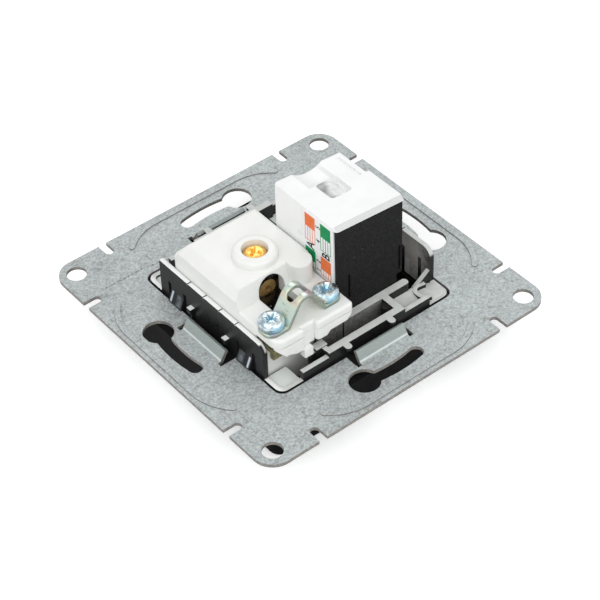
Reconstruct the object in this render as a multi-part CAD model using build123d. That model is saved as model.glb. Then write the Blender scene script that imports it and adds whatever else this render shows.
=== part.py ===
from build123d import *
from math import atan2, hypot, tan
import os

# A flush-mounting insert with an aerial outlet and a data outlet, lying on its front cover.
# Millimetres. +Z points out of the wiring side, the front face is z = 0 and the mounting
# plate is centred on X and Y. The heights named below as "above the plate" count from the
# plate's top face.

# Fits between pieces
slide_gap = 0.2
film_gap = 0.1
thread_gap = 0.05

# Front cover
cover_size = 55.0
cover_drop = 8.7
cover_face = 2.0
cover_skirt = 1.8
cover_corner_radius = 2.5
cover_edge_radius = 1.2
cover_clip_width = 6.0
cover_clip_thickness = 1.0
cover_clip_height = 4.4
cover_clip_hook = 0.6

# Mounting plate
plate_size = 71.0
plate_thickness = 0.8
plate_corner_radius = 4.5
plate_opening = 44.0
plate_opening_radius = 2.0
corner_hole_spacing = 63.3
corner_hole_diameter = 4.2
edge_notch_offset = 22.7
edge_notch_width = 1.9
edge_notch_depth = 3.5
fixing_circle_radius = 30.0
keyhole_head_diameter = 6.3
keyhole_head_angle = 14.0
keyhole_slot_width = 3.0
keyhole_slot_angle = 10.2
bead_inset = 1.5
bead_width = 1.2
bead_height = 0.25
bead_straight = 21.0
bead_bend_radius = 11.5
bead_bend_angle = 45.0
lug_setback = 3.0
lug_shift = 1.2
lug_width = 12.1
lug_height = 2.2
lug_lean = 1.3
lug_relief_width = 1.0
lug_relief_depth = 0.6

# Insert frame
frame_gap = 0.5
frame_wall = 1.0
frame_floor = 1.6
frame_corner_radius = 1.8
flange_gap = 1.2
flange_thickness = 1.2
pad_size = 5.6
pad_thickness = 1.2
pad_depth = 0.5
tall_wall_height = 8.2
tall_wall_length = 32.9
tall_wall_corner = 2.2
tick_depth = 0.25
tick_width = 0.3
tick_pitch = 5.0
front_wall_thickness = 1.6
front_wall_height = 3.0
front_wall_length = 19.2
low_wall_thickness = 1.1
low_wall_height = 2.0
low_wall_end = 16.0
tab_reach = 1.5
tab_width = 1.5
tab_thickness = 0.7
tab_spacing = 11.0
snap_offset = 10.9
snap_width = 4.0
snap_slit = 0.9
snap_slit_height = 4.4
snap_slit_depth = 2.6
snap_reach = 0.9
snap_lift = 0.2
snap_rise = 2.6
peg_offsets = (5.9, -5.2)
peg_width = 1.25
peg_reach = 1.1
peg_height = 3.1
peg_rib_width = 0.5
ledge_thickness = 1.7
ledge_height = 3.0
ledge_end = 15.3
cross_wall_x = 8.8
cross_wall_thickness = 1.6
post_x = 7.6
post_diameter = 2.2
post_height = 2.7
shelf_fall = 1.0
shelf_thickness = 1.5
corner_rib_width = 1.0
latch_x = -10.3
latch_length = 3.4
latch_depth = 2.4
latch_thickness = 1.1
latch_height = 2.6
latch_step = 0.4
back_deck_depth = 4.6
back_deck_hole = 2.2
back_wall_thickness = 1.4

# Aerial outlet
tv_x = -11.05
tv_y = -1.3
tv_right = -2.1
tv_front = -19.6
tv_front_right = -19.85
tv_back = 14.0
tv_body_front = -15.4
tv_wall = 1.2
parting_height = 8.7
parting_groove = 0.2
platform_height = 10.8
platform_left_radius = 2.2
platform_right_radius = 0.7
platform_edge_radius = 0.6
step_x = -14.0
step_end_x = -10.95
step_depth = 0.8
overhang_left_low = 5.6
overhang_left_rise = 2.9
overhang_left_run = 2.3
overhang_notch = 0.3
overhang_right_low = 6.2
overhang_right_run = 2.3
overhang_right_step = 0.85
overhang_right_corner = 1.6
tooth_left = -14.2
tooth_reach = 0.4
tooth_depth = 1.6
tooth_foot = 3.6
tower_height = 15.3
tower_front = -8.0
tower_front_slope = 1.5
tower_back = 12.6
tower_back_slope = 3.0
tower_bevel = 1.3
tower_edge_radius = 0.8
lobe_x = -5.3
lobe_y = -7.6
lobe_radius = 2.5
boss_diameter = 9.0
boss_height = 1.7
boss_hole_diameter = 5.3
boss_edge_radius = 0.9
mouth_x = -12.1
mouth_width = 6.1
mouth_top = 14.5
mouth_run = 4.2
mouth_wall = 0.7
mouth_left_margin = 0.1
coax_recess_diameter = 14.0
coax_recess_depth = 9.2
coax_sleeve_diameter = 9.5
coax_sleeve_wall = 0.6
coax_sleeve_chamfer = 0.25
coax_shoulder_diameter = 10.4
coax_inset = 0.4
coax_flange_diameter = 12.6
coax_flange_thickness = 1.0
coax_insulator_thickness = 3.4
coax_pin_diameter = 2.35
coax_pin_inset = 1.4
coax_collar_width = 1.2
terminal_diameter = 4.1
terminal_length = 6.0
terminal_face_y = -4.8
terminal_height = 9.1
terminal_wire_hole = 1.3
terminal_screw_diameter = 2.6
terminal_screw_head = 4.8
terminal_screw_head_height = 1.6
terminal_screw_top = 16.0
terminal_screw_turn = 20
holder_wall = 3.2
holder_tongue = 0.3
holder_bridge = 0.3

# Cable clamp
clamp_y = -15.45
clamp_screw_left = -18.4
clamp_screw_right = -5.3
strap_width = 4.8
strap_thickness = 0.8
strap_arch_x = -12.0
strap_arch_top = 16.7
strap_arch_width = 6.0
strap_crown_width = 4.6
strap_bend_radius = 0.25
strap_crown_radius = 2.5
strap_foot_margin = 2.5
strap_foot_radius = 2.0
strap_hole_x = -12.5
strap_hole_length = 2.0
strap_hole_width = 2.3
clamp_screw_diameter = 3.0
clamp_screw_head = 5.1
clamp_screw_head_height = 1.6
clamp_screw_length = 4.4
clamp_screw_turns = (15, 40)
cross_width = 0.7
cross_length = 3.0
cross_depth = 0.9
nut_plate_thickness = 1.0
nut_plate_flange = 1.4
nut_plate_margin = 2.3
nut_plate_front = 0.2
nut_plate_drop = 0.8

# Data jack
jack_width = 17.0
jack_front = -14.5
jack_back = 3.6
jack_top = 25.3
jack_top_fall = 0.072
jack_face_thickness = 0.6
jack_face_inset = 0.3
jack_face_drop = 1.1
jack_face_foot = 5.0
jack_body_right = 13.4
jack_neck_left = -0.85
jack_neck_right = 13.65
jack_neck_front = -12.8
jack_neck_back = 3.2
jack_body_inset = 0.3
jack_slot_width = 0.6
jack_slot_height = 6.0
jack_slot_inset = 2.9
jack_slot_depth = 0.4
board_thickness = 1.4
board_height = 7.2
cap_wall = 1.1
cap_top_thickness = 1.4
cap_foot = 8.8
cap_narrow = 0.8
cap_narrow_y = -4.3
cap_chamfer = 0.85
cap_corner_radius = 0.9
cap_side_bevel = 0.35
cap_groove_width = 0.5
cap_groove_depth = 0.3
scoop_x = 6.3
scoop_width = 7.4
scoop_depth = 1.2
scoop_end = -1.8
window_x = 6.2
window_y = -4.4
window_width = 5.2
window_length = 5.0
window_radius = 0.7
crest_radius = 4.0
crest_rise = 0.9
block_top = 22.4
port_width = 11.9
port_height = 6.9
port_top_y = -3.4
port_depth = 14.0
port_latch_width = 6.2
port_latch_depth = 1.6
wire_count = 8
wire_pitch = 1.02
wire_width = 0.45
wire_thickness = 0.35
wire_y = 0.6
wire_low = 3.8
wire_reach = 6.0
wire_rise = 6.6
wire_bend_radius = 0.8
comb_slot = 0.75
blade_row_inset = 3.4
blade_first_y = -11.3
blade_pitch = 3.6
blade_width = 2.6
blade_thickness = 0.5
blade_height = 11.0
blade_slot_width = 0.6
blade_slot_depth = 6.0
wire_channel = 1.2
label_front = -13.6
label_length = 8.4
label_foot = 11.0
label_height = 13.4
label_thickness = 0.15

# Worked out from the sizes above
plate_underside = cover_drop
plate_top = cover_drop + plate_thickness
frame_half = plate_opening / 2 - frame_gap
frame_bottom = cover_face
frame_inner = frame_half - frame_wall
floor_top = cover_face + frame_floor
tv_left = -frame_inner + film_gap
jack_left = tv_right + slide_gap
port_inset = cover_face + film_gap
parting = plate_top + parting_height
platform_top = plate_top + platform_height
tower_top = plate_top + tower_height
nut_plate_top = parting - nut_plate_drop
nut_plate_under = nut_plate_top - nut_plate_thickness
terminal_z = plate_top + terminal_height
jack_right = jack_left + jack_width
blade_rows = (jack_left + blade_row_inset, jack_right - cap_narrow - blade_row_inset)
flange_size = cover_size - 2 * cover_skirt - 2 * flange_gap
insulator_top = min(nut_plate_under, terminal_z - terminal_diameter / 2 - slide_gap)
jack_x = (jack_neck_left + jack_neck_right) / 2
board_under = plate_top + board_height
board_top = board_under + board_thickness


def block(x0, x1, y0, y1, z0, z1):
    """A plain block between two opposite corners."""
    return Pos((x0 + x1) / 2, (y0 + y1) / 2, (z0 + z1) / 2) * Box(x1 - x0, y1 - y0, z1 - z0)


def rod(x, y, z0, z1, diameter):
    """An upright cylinder between two heights."""
    return Pos(x, y, (z0 + z1) / 2) * Cylinder(diameter / 2, z1 - z0)


def slab(outline, z0, z1):
    """A flat outline made solid between two heights."""
    return extrude(Pos(0, 0, z0) * outline, z1 - z0)


def along_y(points, y0, y1):
    """A closed outline of (x, z) points made solid from y0 to y1."""
    face = make_face(Polyline(*[(x, y0, z) for x, z in points], close=True))
    return extrude(face, y1 - y0, dir=(0, 1, 0))


def along_x(points, x0, x1):
    """A closed outline of (y, z) points made solid from x0 to x1."""
    face = make_face(Polyline(*[(x0, y, z) for y, z in points], close=True))
    return extrude(face, x1 - x0, dir=(1, 0, 0))


def four_sides(feature):
    """A feature drawn for the front side (-Y), repeated on all four sides."""
    return [Rot(0, 0, 90 * turn) * feature for turn in range(4)]


def edges_near(shape, axis, level, reach=0.01):
    """The edges of a shape whose centre lies at a level along an axis."""
    return shape.edges().filter_by_position(axis, level - reach, level + reach)


# Mounting plate


def keyhole():
    """The front side's keyhole: a round head and a slot that bends along the fixing circle."""
    head = Rot(0, 0, -90 - keyhole_head_angle) * Pos(fixing_circle_radius, 0)
    arc = CenterArc((0, 0), fixing_circle_radius, -90 - keyhole_head_angle,
                    keyhole_head_angle + keyhole_slot_angle)
    return head * Circle(keyhole_head_diameter / 2) + SlotArc(arc, keyhole_slot_width)


def edge_notches():
    """Two round-ended notches in the front edge."""
    edge = -plate_size / 2
    run = edge_notch_depth - edge_notch_width / 2
    notch = Pos(0, edge + run / 2) * Rectangle(edge_notch_width, run)
    notch += Pos(0, edge + run) * Circle(edge_notch_width / 2)
    return Pos(-edge_notch_offset, 0) * notch + Pos(edge_notch_offset, 0) * notch


def bead_line(width):
    """The pressed bead along the front edge: straight, with both ends bent inwards."""
    line_y = -plate_size / 2 + bead_inset
    centre_y = line_y + bead_bend_radius
    bead = Pos(0, line_y) * Rectangle(bead_straight, width)
    for side in (-1, 1):
        start = -90 if side > 0 else -90 - bead_bend_angle
        arc = CenterArc((side * bead_straight / 2, centre_y), bead_bend_radius, start, bead_bend_angle)
        bead += SlotArc(arc, width)
    return bead


def lug_cut():
    """The plate that is cut away behind the front lug, with a relief notch at each end."""
    fold = -(plate_opening / 2 + lug_setback)
    inner = fold + lug_setback + plate_opening_radius
    full = lug_width + 2 * lug_relief_width
    cut = Pos(lug_shift, (fold + inner) / 2) * Rectangle(full, inner - fold)
    for side in (-1, 1):
        x = lug_shift + side * (lug_width + lug_relief_width) / 2
        cut += Pos(x, fold) * Rectangle(lug_relief_width, 2 * lug_relief_depth)
    return cut


def lug():
    """The front lug: the plate's edge bent up, leaning in over the opening."""
    fold = -(plate_opening / 2 + lug_setback)
    length = hypot(lug_height, lug_lean)
    across = plate_thickness * lug_height / length
    down = plate_thickness * lug_lean / length
    top = plate_top + lug_height
    profile = [
        (fold - plate_thickness, plate_underside),
        (fold + plate_thickness * 0.7, plate_underside),
        (fold + lug_lean + across, top - down),
        (fold + lug_lean, top),
        (fold, plate_top),
        (fold - plate_thickness, plate_top),
    ]
    return along_x(profile, lug_shift - lug_width / 2, lug_shift + lug_width / 2)


def mounting_plate():
    outline = RectangleRounded(plate_size, plate_size, plate_corner_radius)
    outline -= RectangleRounded(plate_opening, plate_opening, plate_opening_radius)
    outline -= GridLocations(corner_hole_spacing, corner_hole_spacing, 2, 2) * Circle(corner_hole_diameter / 2)
    outline -= four_sides(keyhole())
    outline -= four_sides(edge_notches())
    outline -= four_sides(lug_cut())
    plate = slab(outline, plate_underside, plate_top)
    for turned in four_sides(lug()):
        plate += turned
    for turned in four_sides(bead_line(bead_width)):
        plate += slab(turned, plate_top, plate_top + bead_height)
    for turned in four_sides(bead_line(bead_width - 2 * bead_height)):
        plate -= slab(turned, plate_underside, plate_underside + bead_height)
    return plate


# Front cover


def front_cover():
    top = plate_underside - slide_gap
    inner = cover_size - 2 * cover_skirt
    shell = slab(RectangleRounded(cover_size, cover_size, cover_corner_radius), 0, top)
    shell = fillet(shell.faces().sort_by(Axis.Z)[0].edges(), cover_edge_radius)
    shell -= slab(RectangleRounded(inner, inner, cover_corner_radius - cover_edge_radius), cover_face, top)
    shell -= rod(tv_x, tv_y, 0, cover_face, coax_recess_diameter)
    shell -= port_opening(slide_gap, 0, cover_face)
    for turned in four_sides(cover_clip()):
        shell += turned
    return shell


def cover_clip():
    """The front clip of the cover, hooked into the window in the frame's wall."""
    face = -(frame_half + slide_gap)
    back = face - cover_clip_thickness
    top = cover_face + cover_clip_height
    hook = face + cover_clip_hook
    profile = [
        (back, cover_face),
        (face, cover_face),
        (face, top - 1.6),
        (hook, top - 1.4),
        (hook, top - 1.0),
        (face, top),
        (back, top),
    ]
    return along_x(profile, -cover_clip_width / 2, cover_clip_width / 2)


def port_opening(gap, z0, z1):
    """The data port's outline, wider by a gap all round, made solid between two heights."""
    low = port_top_y - port_height
    opening = block(jack_x - port_width / 2 - gap, jack_x + port_width / 2 + gap,
                    low - gap, port_top_y + gap, z0, z1)
    latch = port_latch_width / 2 + gap
    return opening + block(jack_x - latch, jack_x + latch, low - port_latch_depth - gap, low, z0, z1)


# Insert frame


def snap_profile(wall_x):
    """The nose of a snap arm: a ramp that ends in a hook over the plate."""
    foot = plate_top + snap_lift
    reach = wall_x - snap_reach
    return [
        (wall_x, foot),
        (reach, foot),
        (reach, foot + 0.4),
        (wall_x, foot + snap_rise),
    ]


def side_wall():
    """The tall left wall, with its front end rounded and the notches along its top."""
    half = tall_wall_length / 2
    top = plate_top + tall_wall_height
    wall = block(-frame_half, -frame_half + frame_wall, -half, half, plate_underside, top)
    front_end = edges_near(wall, Axis.Z, top).filter_by(Axis.X).sort_by(Axis.Y)[0]
    wall = fillet(front_end, tall_wall_corner)
    for step in range(-1, 3):
        y = tick_pitch * (step - 0.6)
        wall -= block(-frame_half, -frame_half + frame_wall, y, y + tick_width, top - tick_depth, top)
    return wall


def snap_slits(side_y):
    """The cuts that free a snap arm from the left wall and from the flange."""
    arm = snap_width / 2
    low = plate_underside - snap_slit_depth
    high = plate_top + snap_slit_height
    inside = -frame_half + frame_wall
    outside = -flange_size / 2
    cuts = []
    for side in (-1, 1):
        y0 = side_y + side * (arm + snap_slit / 2)
        cuts.append(block(outside, inside, y0 - snap_slit / 2, y0 + snap_slit / 2, low, high))
    ends = arm + snap_slit
    cuts.append(block(outside, inside, side_y - ends, side_y + ends, low, low + snap_slit))
    cuts.append(block(outside, -frame_half, side_y - ends, side_y + ends, low, plate_underside))
    return cuts


def side_wall_details():
    """The snap noses and the pegs outside the left wall."""
    pieces = []
    for side in (-1, 1):
        y = side * snap_offset
        nose = along_y(snap_profile(-frame_half), y - snap_width / 2, y + snap_width / 2)
        pieces.append(nose)
    for y in peg_offsets:
        head = block(-frame_half - peg_reach, -frame_half, y - peg_width / 2, y + peg_width / 2,
                     plate_top + peg_height - peg_width, plate_top + peg_height)
        rib = block(-frame_half - peg_reach / 2, -frame_half, y - peg_rib_width / 2, y + peg_rib_width / 2,
                    plate_top, plate_top + peg_height)
        pieces += [head, rib]
    return pieces


def front_wall():
    """The front wall: a middle stretch with two round tabs, and a lower stretch at each end."""
    half = front_wall_length / 2
    outer = -frame_half
    top = plate_top + front_wall_height
    wall = block(-half, half, outer, outer + front_wall_thickness, plate_underside, top)
    for side in (-1, 1):
        ends = sorted((side * half, side * low_wall_end))
        low_top = plate_top + low_wall_height
        wall += block(ends[0], ends[1], outer, outer + low_wall_thickness, plate_underside, low_top)
        tab = SlotOverall(2 * tab_reach, tab_width, rotation=90)
        tab = Pos(side * tab_spacing / 2, outer) * tab
        wall += slab(tab, top - tab_thickness, top)
    return wall


def corner_pads():
    """The sunk floor in each corner, just below the rim."""
    inner = frame_half - frame_wall
    far = frame_half - pad_size
    top = plate_top - pad_depth
    pad = block(-inner - 0.1, -far, -inner - 0.1, -far, top - pad_thickness, top)
    return [Rot(0, 0, 90 * turn) * pad for turn in range(4)]


def jack_seat():
    """The ledge in front of the jack, the cross wall, the post, the shelf and the wall behind."""
    top = plate_top + ledge_height
    back = jack_front - slide_gap
    front = back - ledge_thickness
    start = jack_left + slide_gap
    seat = block(start, ledge_end, front, back, floor_top, top)
    seat = fillet(edges_near(seat, Axis.X, ledge_end).filter_by(Axis.Z), ledge_thickness * 0.45)
    wall_inner = -frame_half + front_wall_thickness
    cross_left = cross_wall_x - cross_wall_thickness / 2
    cross_right = cross_wall_x + cross_wall_thickness / 2
    seat += block(cross_left, cross_right, wall_inner, front, floor_top, top)
    seat += rod(post_x, (wall_inner + front) / 2, floor_top, plate_top + post_height, post_diameter)
    shelf_inner = -frame_half + low_wall_thickness
    shelf = [
        (shelf_inner, plate_top - shelf_thickness),
        (front, plate_top - shelf_thickness),
        (front, plate_top + shelf_fall),
        (shelf_inner, plate_top),
    ]
    seat += along_x(shelf, cross_right, frame_half - pad_size)
    behind = jack_back + slide_gap
    seat += block(start, ledge_end, behind, behind + back_wall_thickness, floor_top, top)
    return seat + corner_rib()


def corner_rib():
    """The rib that falls from the right wall across the corner to the shelf."""
    wall_inner = frame_half - frame_wall
    near = frame_half - pad_size
    half = corner_rib_width / 2
    y = -frame_half + pad_size
    profile = [
        (near - half, plate_top - shelf_thickness),
        (wall_inner, plate_top - shelf_thickness),
        (wall_inner, plate_top + front_wall_height),
        (near + half, plate_top),
        (near - half, plate_top),
    ]
    return along_y(profile, y - half, y + half)


def latch():
    """The stepped catch that holds the aerial housing's tooth."""
    x0 = latch_x - latch_length / 2
    x1 = latch_x + latch_length / 2
    top = plate_top + latch_height
    inner = -frame_half + low_wall_thickness
    back = inner + latch_depth
    catch = block(x0, x1, back - latch_thickness, back, floor_top, top)
    catch += block(x1 - latch_thickness, x1, inner, back, floor_top, top + latch_step)
    return catch


def back_deck():
    """The narrow deck along the back wall, with a square hole beside the jack."""
    inner = frame_half - frame_wall
    top = plate_top - pad_depth
    deck = block(-inner - 0.1, inner + 0.1, inner - back_deck_depth, inner + 0.1, top - pad_thickness, top)
    hole = back_deck_hole
    return deck - block(jack_x - hole, jack_x + hole, inner - 1.5 * hole, inner - 0.2, top - pad_thickness, top)


def insert_frame():
    size = 2 * frame_half
    inner = size - 2 * frame_wall
    frame = slab(RectangleRounded(size, size, frame_corner_radius), frame_bottom, plate_top)
    frame -= slab(RectangleRounded(inner, inner, frame_corner_radius / 2), floor_top, plate_top)
    flange_radius = frame_corner_radius + flange_size / 2 - frame_half
    ring = RectangleRounded(flange_size, flange_size, flange_radius)
    ring -= RectangleRounded(size - frame_wall, size - frame_wall, frame_corner_radius)
    frame += slab(ring, plate_underside - flange_thickness, plate_underside)
    left = side_wall()
    right = mirror(left, Plane.YZ)
    front = front_wall()
    for piece in [left, right, front, mirror(front, Plane.XZ), jack_seat(), latch(), back_deck()]:
        frame += piece
    for piece in corner_pads():
        frame += piece
    for piece in side_wall_details():
        frame += piece
        frame += mirror(piece, Plane.YZ)
    for side in (-1, 1):
        for cut in snap_slits(side * snap_offset):
            frame -= cut
            frame -= mirror(cut, Plane.YZ)
    frame -= rod(tv_x, tv_y, frame_bottom, floor_top, coax_recess_diameter)
    frame -= block(jack_neck_left - slide_gap, jack_neck_right + slide_gap,
                   jack_neck_front - slide_gap, jack_neck_back + slide_gap, frame_bottom, floor_top)
    for window in four_sides(clip_window()):
        frame -= window
    return frame


def clip_window():
    """The window in the front wall that a clip of the cover hooks into."""
    half = cover_clip_width / 2 + slide_gap
    top = cover_face + cover_clip_height
    return block(-half, half, -frame_half, -frame_half + cover_clip_hook, top - 2.0, top + slide_gap)


# Aerial outlet


def platform_plan():
    """The housing's outline from above: its front steps back in the middle."""
    plan = Pos((tv_left + tv_right) / 2, (tv_front + tv_back) / 2)
    plan *= RectangleRounded(tv_right - tv_left, tv_back - tv_front, platform_left_radius)
    plan -= Pos(step_end_x, tv_front) * Rectangle(2 * (step_end_x - step_x), 2 * step_depth)
    right = Pos((step_end_x + tv_right) / 2, (tv_front_right + tv_body_front) / 2)
    right *= RectangleRounded(tv_right - step_end_x, tv_body_front - tv_front_right, platform_right_radius)
    return plan + right


def overhang_profile():
    """The front overhang seen from the front: its lower edge rises at both ends and on the right."""
    left = plate_top + overhang_left_low
    right = plate_top + overhang_right_low
    ramp = step_end_x + overhang_right_run
    return [
        (tv_left, left + overhang_left_rise),
        (tv_left + overhang_left_run, left + 2 * overhang_notch),
        (tv_left + overhang_left_run + overhang_notch, left + 3 * overhang_notch),
        (tv_left + 2 * overhang_left_run, left),
        (step_end_x, left),
        (step_end_x, right),
        (ramp, right),
        (ramp + overhang_right_step, right + overhang_right_step),
        (tv_right - overhang_right_corner, right + overhang_right_step),
        (tv_right, right + overhang_right_step + overhang_right_corner),
        (tv_right, platform_top),
        (tv_left, platform_top),
    ]


def housing_envelope():
    """Both halves of the aerial housing below the platform's top, as one solid."""
    body = slab(platform_plan(), floor_top, platform_top)
    front = along_y(overhang_profile(), tv_front_right, tv_body_front)
    behind = block(tv_left, tv_right, tv_body_front, tv_back, floor_top, platform_top)
    return body & (front + behind)


def tv_base():
    base = housing_envelope()
    base -= block(tv_left, tv_right, tv_front_right, tv_back, parting, platform_top)
    base += housing_tooth()
    base -= rod(tv_x, tv_y, floor_top, coax_recess_depth, coax_recess_diameter)
    flange_under = nut_plate_under - coax_flange_thickness
    base -= rod(tv_x, tv_y, coax_recess_depth, flange_under, coax_shoulder_diameter + 2 * thread_gap)
    base -= rod(tv_x, tv_y, flange_under, parting, coax_flange_diameter + 2 * film_gap)
    base -= nut_plate_shape(film_gap, parting)
    for x in (clamp_screw_left, clamp_screw_right):
        base -= rod(x, clamp_y, clamp_screw_tip() - slide_gap, parting, clamp_screw_diameter + 2 * slide_gap)
    back_pocket = tv_y + coax_flange_diameter / 2 + 2 * tv_wall
    base -= block(tv_left + tv_wall, tv_right - tv_wall, back_pocket, tv_back - tv_wall,
                  floor_top + tv_wall, parting)
    return base


def housing_tooth():
    """The small tooth under the overhang that clicks behind the frame's catch."""
    right = latch_x - latch_length / 2 - slide_gap
    front = tv_front - tooth_reach
    return block(tooth_left, right, front, front + tooth_depth, plate_top + tooth_foot,
                 plate_top + overhang_left_low)


def tower():
    """The tall part of the cover, with its sloping back, drafted front and bevelled left edge."""
    foot = platform_top - platform_edge_radius
    side = [
        (tower_front, foot),
        (tower_front + tower_front_slope, tower_top),
        (tower_back - tower_back_slope, tower_top),
        (tower_back, foot),
    ]
    body = along_x(side, tv_left, tv_right - film_gap)
    front = [
        (tv_left, foot),
        (tv_left, tower_top - 2 * tower_bevel),
        (tv_left + tower_bevel, tower_top),
        (tv_right - film_gap, tower_top),
        (tv_right - film_gap, foot),
    ]
    body &= along_y(front, tower_front, tower_back)
    body = fillet(edges_near(body, Axis.Z, tower_top), tower_edge_radius)
    return body + rod(lobe_x, lobe_y, foot, tower_top, 2 * lobe_radius)


def mouth():
    """The cable's way in: an arch through the front of the tower and a cut in the platform."""
    radius = mouth_width / 2
    arch_z = plate_top + mouth_top - radius
    front = tower_front - mouth_run
    inside = tower_front + tower_front_slope + mouth_wall
    arch = Pos(mouth_x, (front + inside) / 2, arch_z) * Rot(90, 0, 0)
    arch *= Cylinder(radius, inside - front)
    left = mouth_x - radius - mouth_left_margin
    way = block(left, mouth_x + radius, front, inside, parting, arch_z)
    return arch + way


def tv_cover():
    cover = housing_envelope()
    cover -= block(tv_left, tv_right, tv_front_right, tv_back, floor_top, parting)
    top_edges = edges_near(cover, Axis.Z, platform_top)
    cover = fillet(top_edges, platform_edge_radius)
    cover += tower()
    boss = rod(tv_x, tv_y, platform_top, tower_top + boss_height, boss_diameter)
    boss = fillet(edges_near(boss, Axis.Z, tower_top + boss_height), boss_edge_radius)
    cover += boss
    cover -= rod(tv_x, tv_y, parting, tower_top + boss_height, boss_hole_diameter)
    roof = tower_top - tv_wall
    cavity_front = tower_front + tower_front_slope + mouth_wall
    cavity_back = tower_back - tower_back_slope - tv_wall
    cover -= block(tv_left + 2 * tv_wall, tv_right - tv_wall, cavity_front, cavity_back, parting, roof)
    cover -= mouth()
    cover -= parting_line()
    for x in (clamp_screw_left, clamp_screw_right):
        cover -= rod(x, clamp_y, parting, platform_top, clamp_screw_diameter + 2 * slide_gap)
    return cover


def parting_line():
    """The fine groove along the front where the two halves meet."""
    top = parting + parting_groove
    left = block(tv_left, step_x, tv_front, tv_front + parting_groove, parting, top)
    return left + block(step_end_x, tv_right, tv_front_right, tv_front_right + parting_groove, parting, top)


def cross_recess(x, y, top):
    """The cross-shaped driver recess in a screw head."""
    one = block(x - cross_length / 2, x + cross_length / 2, y - cross_width / 2, y + cross_width / 2,
                top - cross_depth, top)
    return one + Pos(x, y) * Rot(0, 0, 90) * Pos(-x, -y) * one


def screw(x, y, under_head, head_diameter, head_height, diameter, tip, turn):
    """A pan-head screw with a cross recess."""
    top = under_head + head_height
    head = rod(x, y, under_head, top, head_diameter)
    head = fillet(edges_near(head, Axis.Z, top), head_height * 0.5)
    shank = rod(x, y, tip, under_head, diameter - 2 * thread_gap)
    recess = Pos(x, y) * Rot(0, 0, turn) * Pos(-x, -y) * cross_recess(x, y, top)
    return head + shank - recess


def terminal_screw():
    top = plate_top + terminal_screw_top
    tip = terminal_z + terminal_wire_hole / 2
    return screw(tv_x, tv_y, top - terminal_screw_head_height, terminal_screw_head,
                 terminal_screw_head_height, terminal_screw_diameter, tip, terminal_screw_turn)


def terminal_block():
    """A brass pin lying along Y, with the wire's hole in its face and the screw's hole on top."""
    middle = terminal_face_y + terminal_length / 2
    lying = Pos(tv_x, middle, terminal_z) * Rot(90, 0, 0)
    body = lying * Cylinder(terminal_diameter / 2, terminal_length)
    body -= lying * Cylinder(terminal_wire_hole / 2, terminal_length)
    return body - rod(tv_x, tv_y, terminal_z, terminal_z + terminal_diameter, terminal_screw_diameter)


def terminal_holder():
    """The black holder round the terminal, open towards the cable mouth."""
    half = terminal_diameter / 2 + holder_wall
    back = terminal_face_y + terminal_length + tv_wall
    front = tower_front + tower_front_slope + mouth_wall + slide_gap
    roof = tower_top - tv_wall - film_gap
    foot = nut_plate_top + film_gap
    tongue_top = foot + holder_tongue
    holder = block(tv_x - half, tv_x + half, front, back, parting, roof)
    holder += block(tv_x - half, tv_x + half, front, tv_y, foot, parting)
    lying = Pos(tv_x, terminal_face_y + terminal_length / 2, terminal_z) * Rot(90, 0, 0)
    holder -= lying * Cylinder(terminal_diameter / 2 + thread_gap, terminal_length)
    right = mouth_x + mouth_width / 2
    left = mouth_x - mouth_width / 2
    holder -= block(left, right, front, terminal_face_y, tongue_top, roof)
    holder -= block(left, right, front + holder_bridge, terminal_face_y, foot, tongue_top)
    holder -= rod(tv_x, tv_y, terminal_z, roof, boss_hole_diameter)
    tongue_front = tower_front - mouth_run + slide_gap
    return holder + block(left + slide_gap, right - slide_gap, tongue_front, front, foot, tongue_top)


def coax_shell():
    flange_top = nut_plate_under
    shell = rod(tv_x, tv_y, coax_inset, coax_recess_depth, coax_sleeve_diameter)
    shell += rod(tv_x, tv_y, coax_recess_depth, flange_top, coax_shoulder_diameter)
    shell += rod(tv_x, tv_y, flange_top - coax_flange_thickness, flange_top, coax_flange_diameter)
    bore = coax_sleeve_diameter - 2 * coax_sleeve_wall
    shell -= rod(tv_x, tv_y, coax_inset, flange_top, bore)
    return chamfer(edges_near(shell, Axis.Z, coax_inset), coax_sleeve_chamfer)


def coax_insulator():
    bore = coax_sleeve_diameter - 2 * coax_sleeve_wall
    disc = rod(tv_x, tv_y, insulator_top - coax_insulator_thickness, insulator_top, bore - 2 * thread_gap)
    return disc - rod(tv_x, tv_y, coax_inset, insulator_top, coax_pin_diameter)


def coax_centre_contact():
    foot = coax_inset + coax_pin_inset
    top = terminal_z - terminal_diameter / 2
    pin = rod(tv_x, tv_y, foot, top, coax_pin_diameter - 2 * thread_gap)
    collar_top = insulator_top - coax_insulator_thickness
    pin += rod(tv_x, tv_y, collar_top - coax_collar_width, collar_top, coax_pin_diameter + coax_collar_width)
    return chamfer(edges_near(pin, Axis.Z, foot), coax_pin_diameter * 0.3)


# Cable clamp


def clamp_screw_tip():
    return platform_top + strap_thickness - clamp_screw_length


def strap_line(offset_out):
    """The strap's outline seen from the front, moved outwards by a distance."""
    foot = platform_top + offset_out
    crown = plate_top + strap_arch_top - strap_thickness + offset_out
    slant = atan2(crown - foot, (strap_arch_width - strap_crown_width) / 2)
    side = offset_out * tan(slant / 2)
    foot_half = strap_arch_width / 2 + side
    crown_half = strap_crown_width / 2 + side
    radii = [strap_bend_radius + strap_thickness - offset_out, strap_crown_radius + offset_out]
    points = [
        (clamp_screw_left - strap_foot_margin, 0, foot),
        (strap_arch_x - foot_half, 0, foot),
        (strap_arch_x - crown_half, 0, crown),
        (strap_arch_x + crown_half, 0, crown),
        (strap_arch_x + foot_half, 0, foot),
        (clamp_screw_right + strap_foot_margin, 0, foot),
    ]
    return FilletPolyline(*points, radius=[radii[0], radii[1], radii[1], radii[0]])


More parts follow.
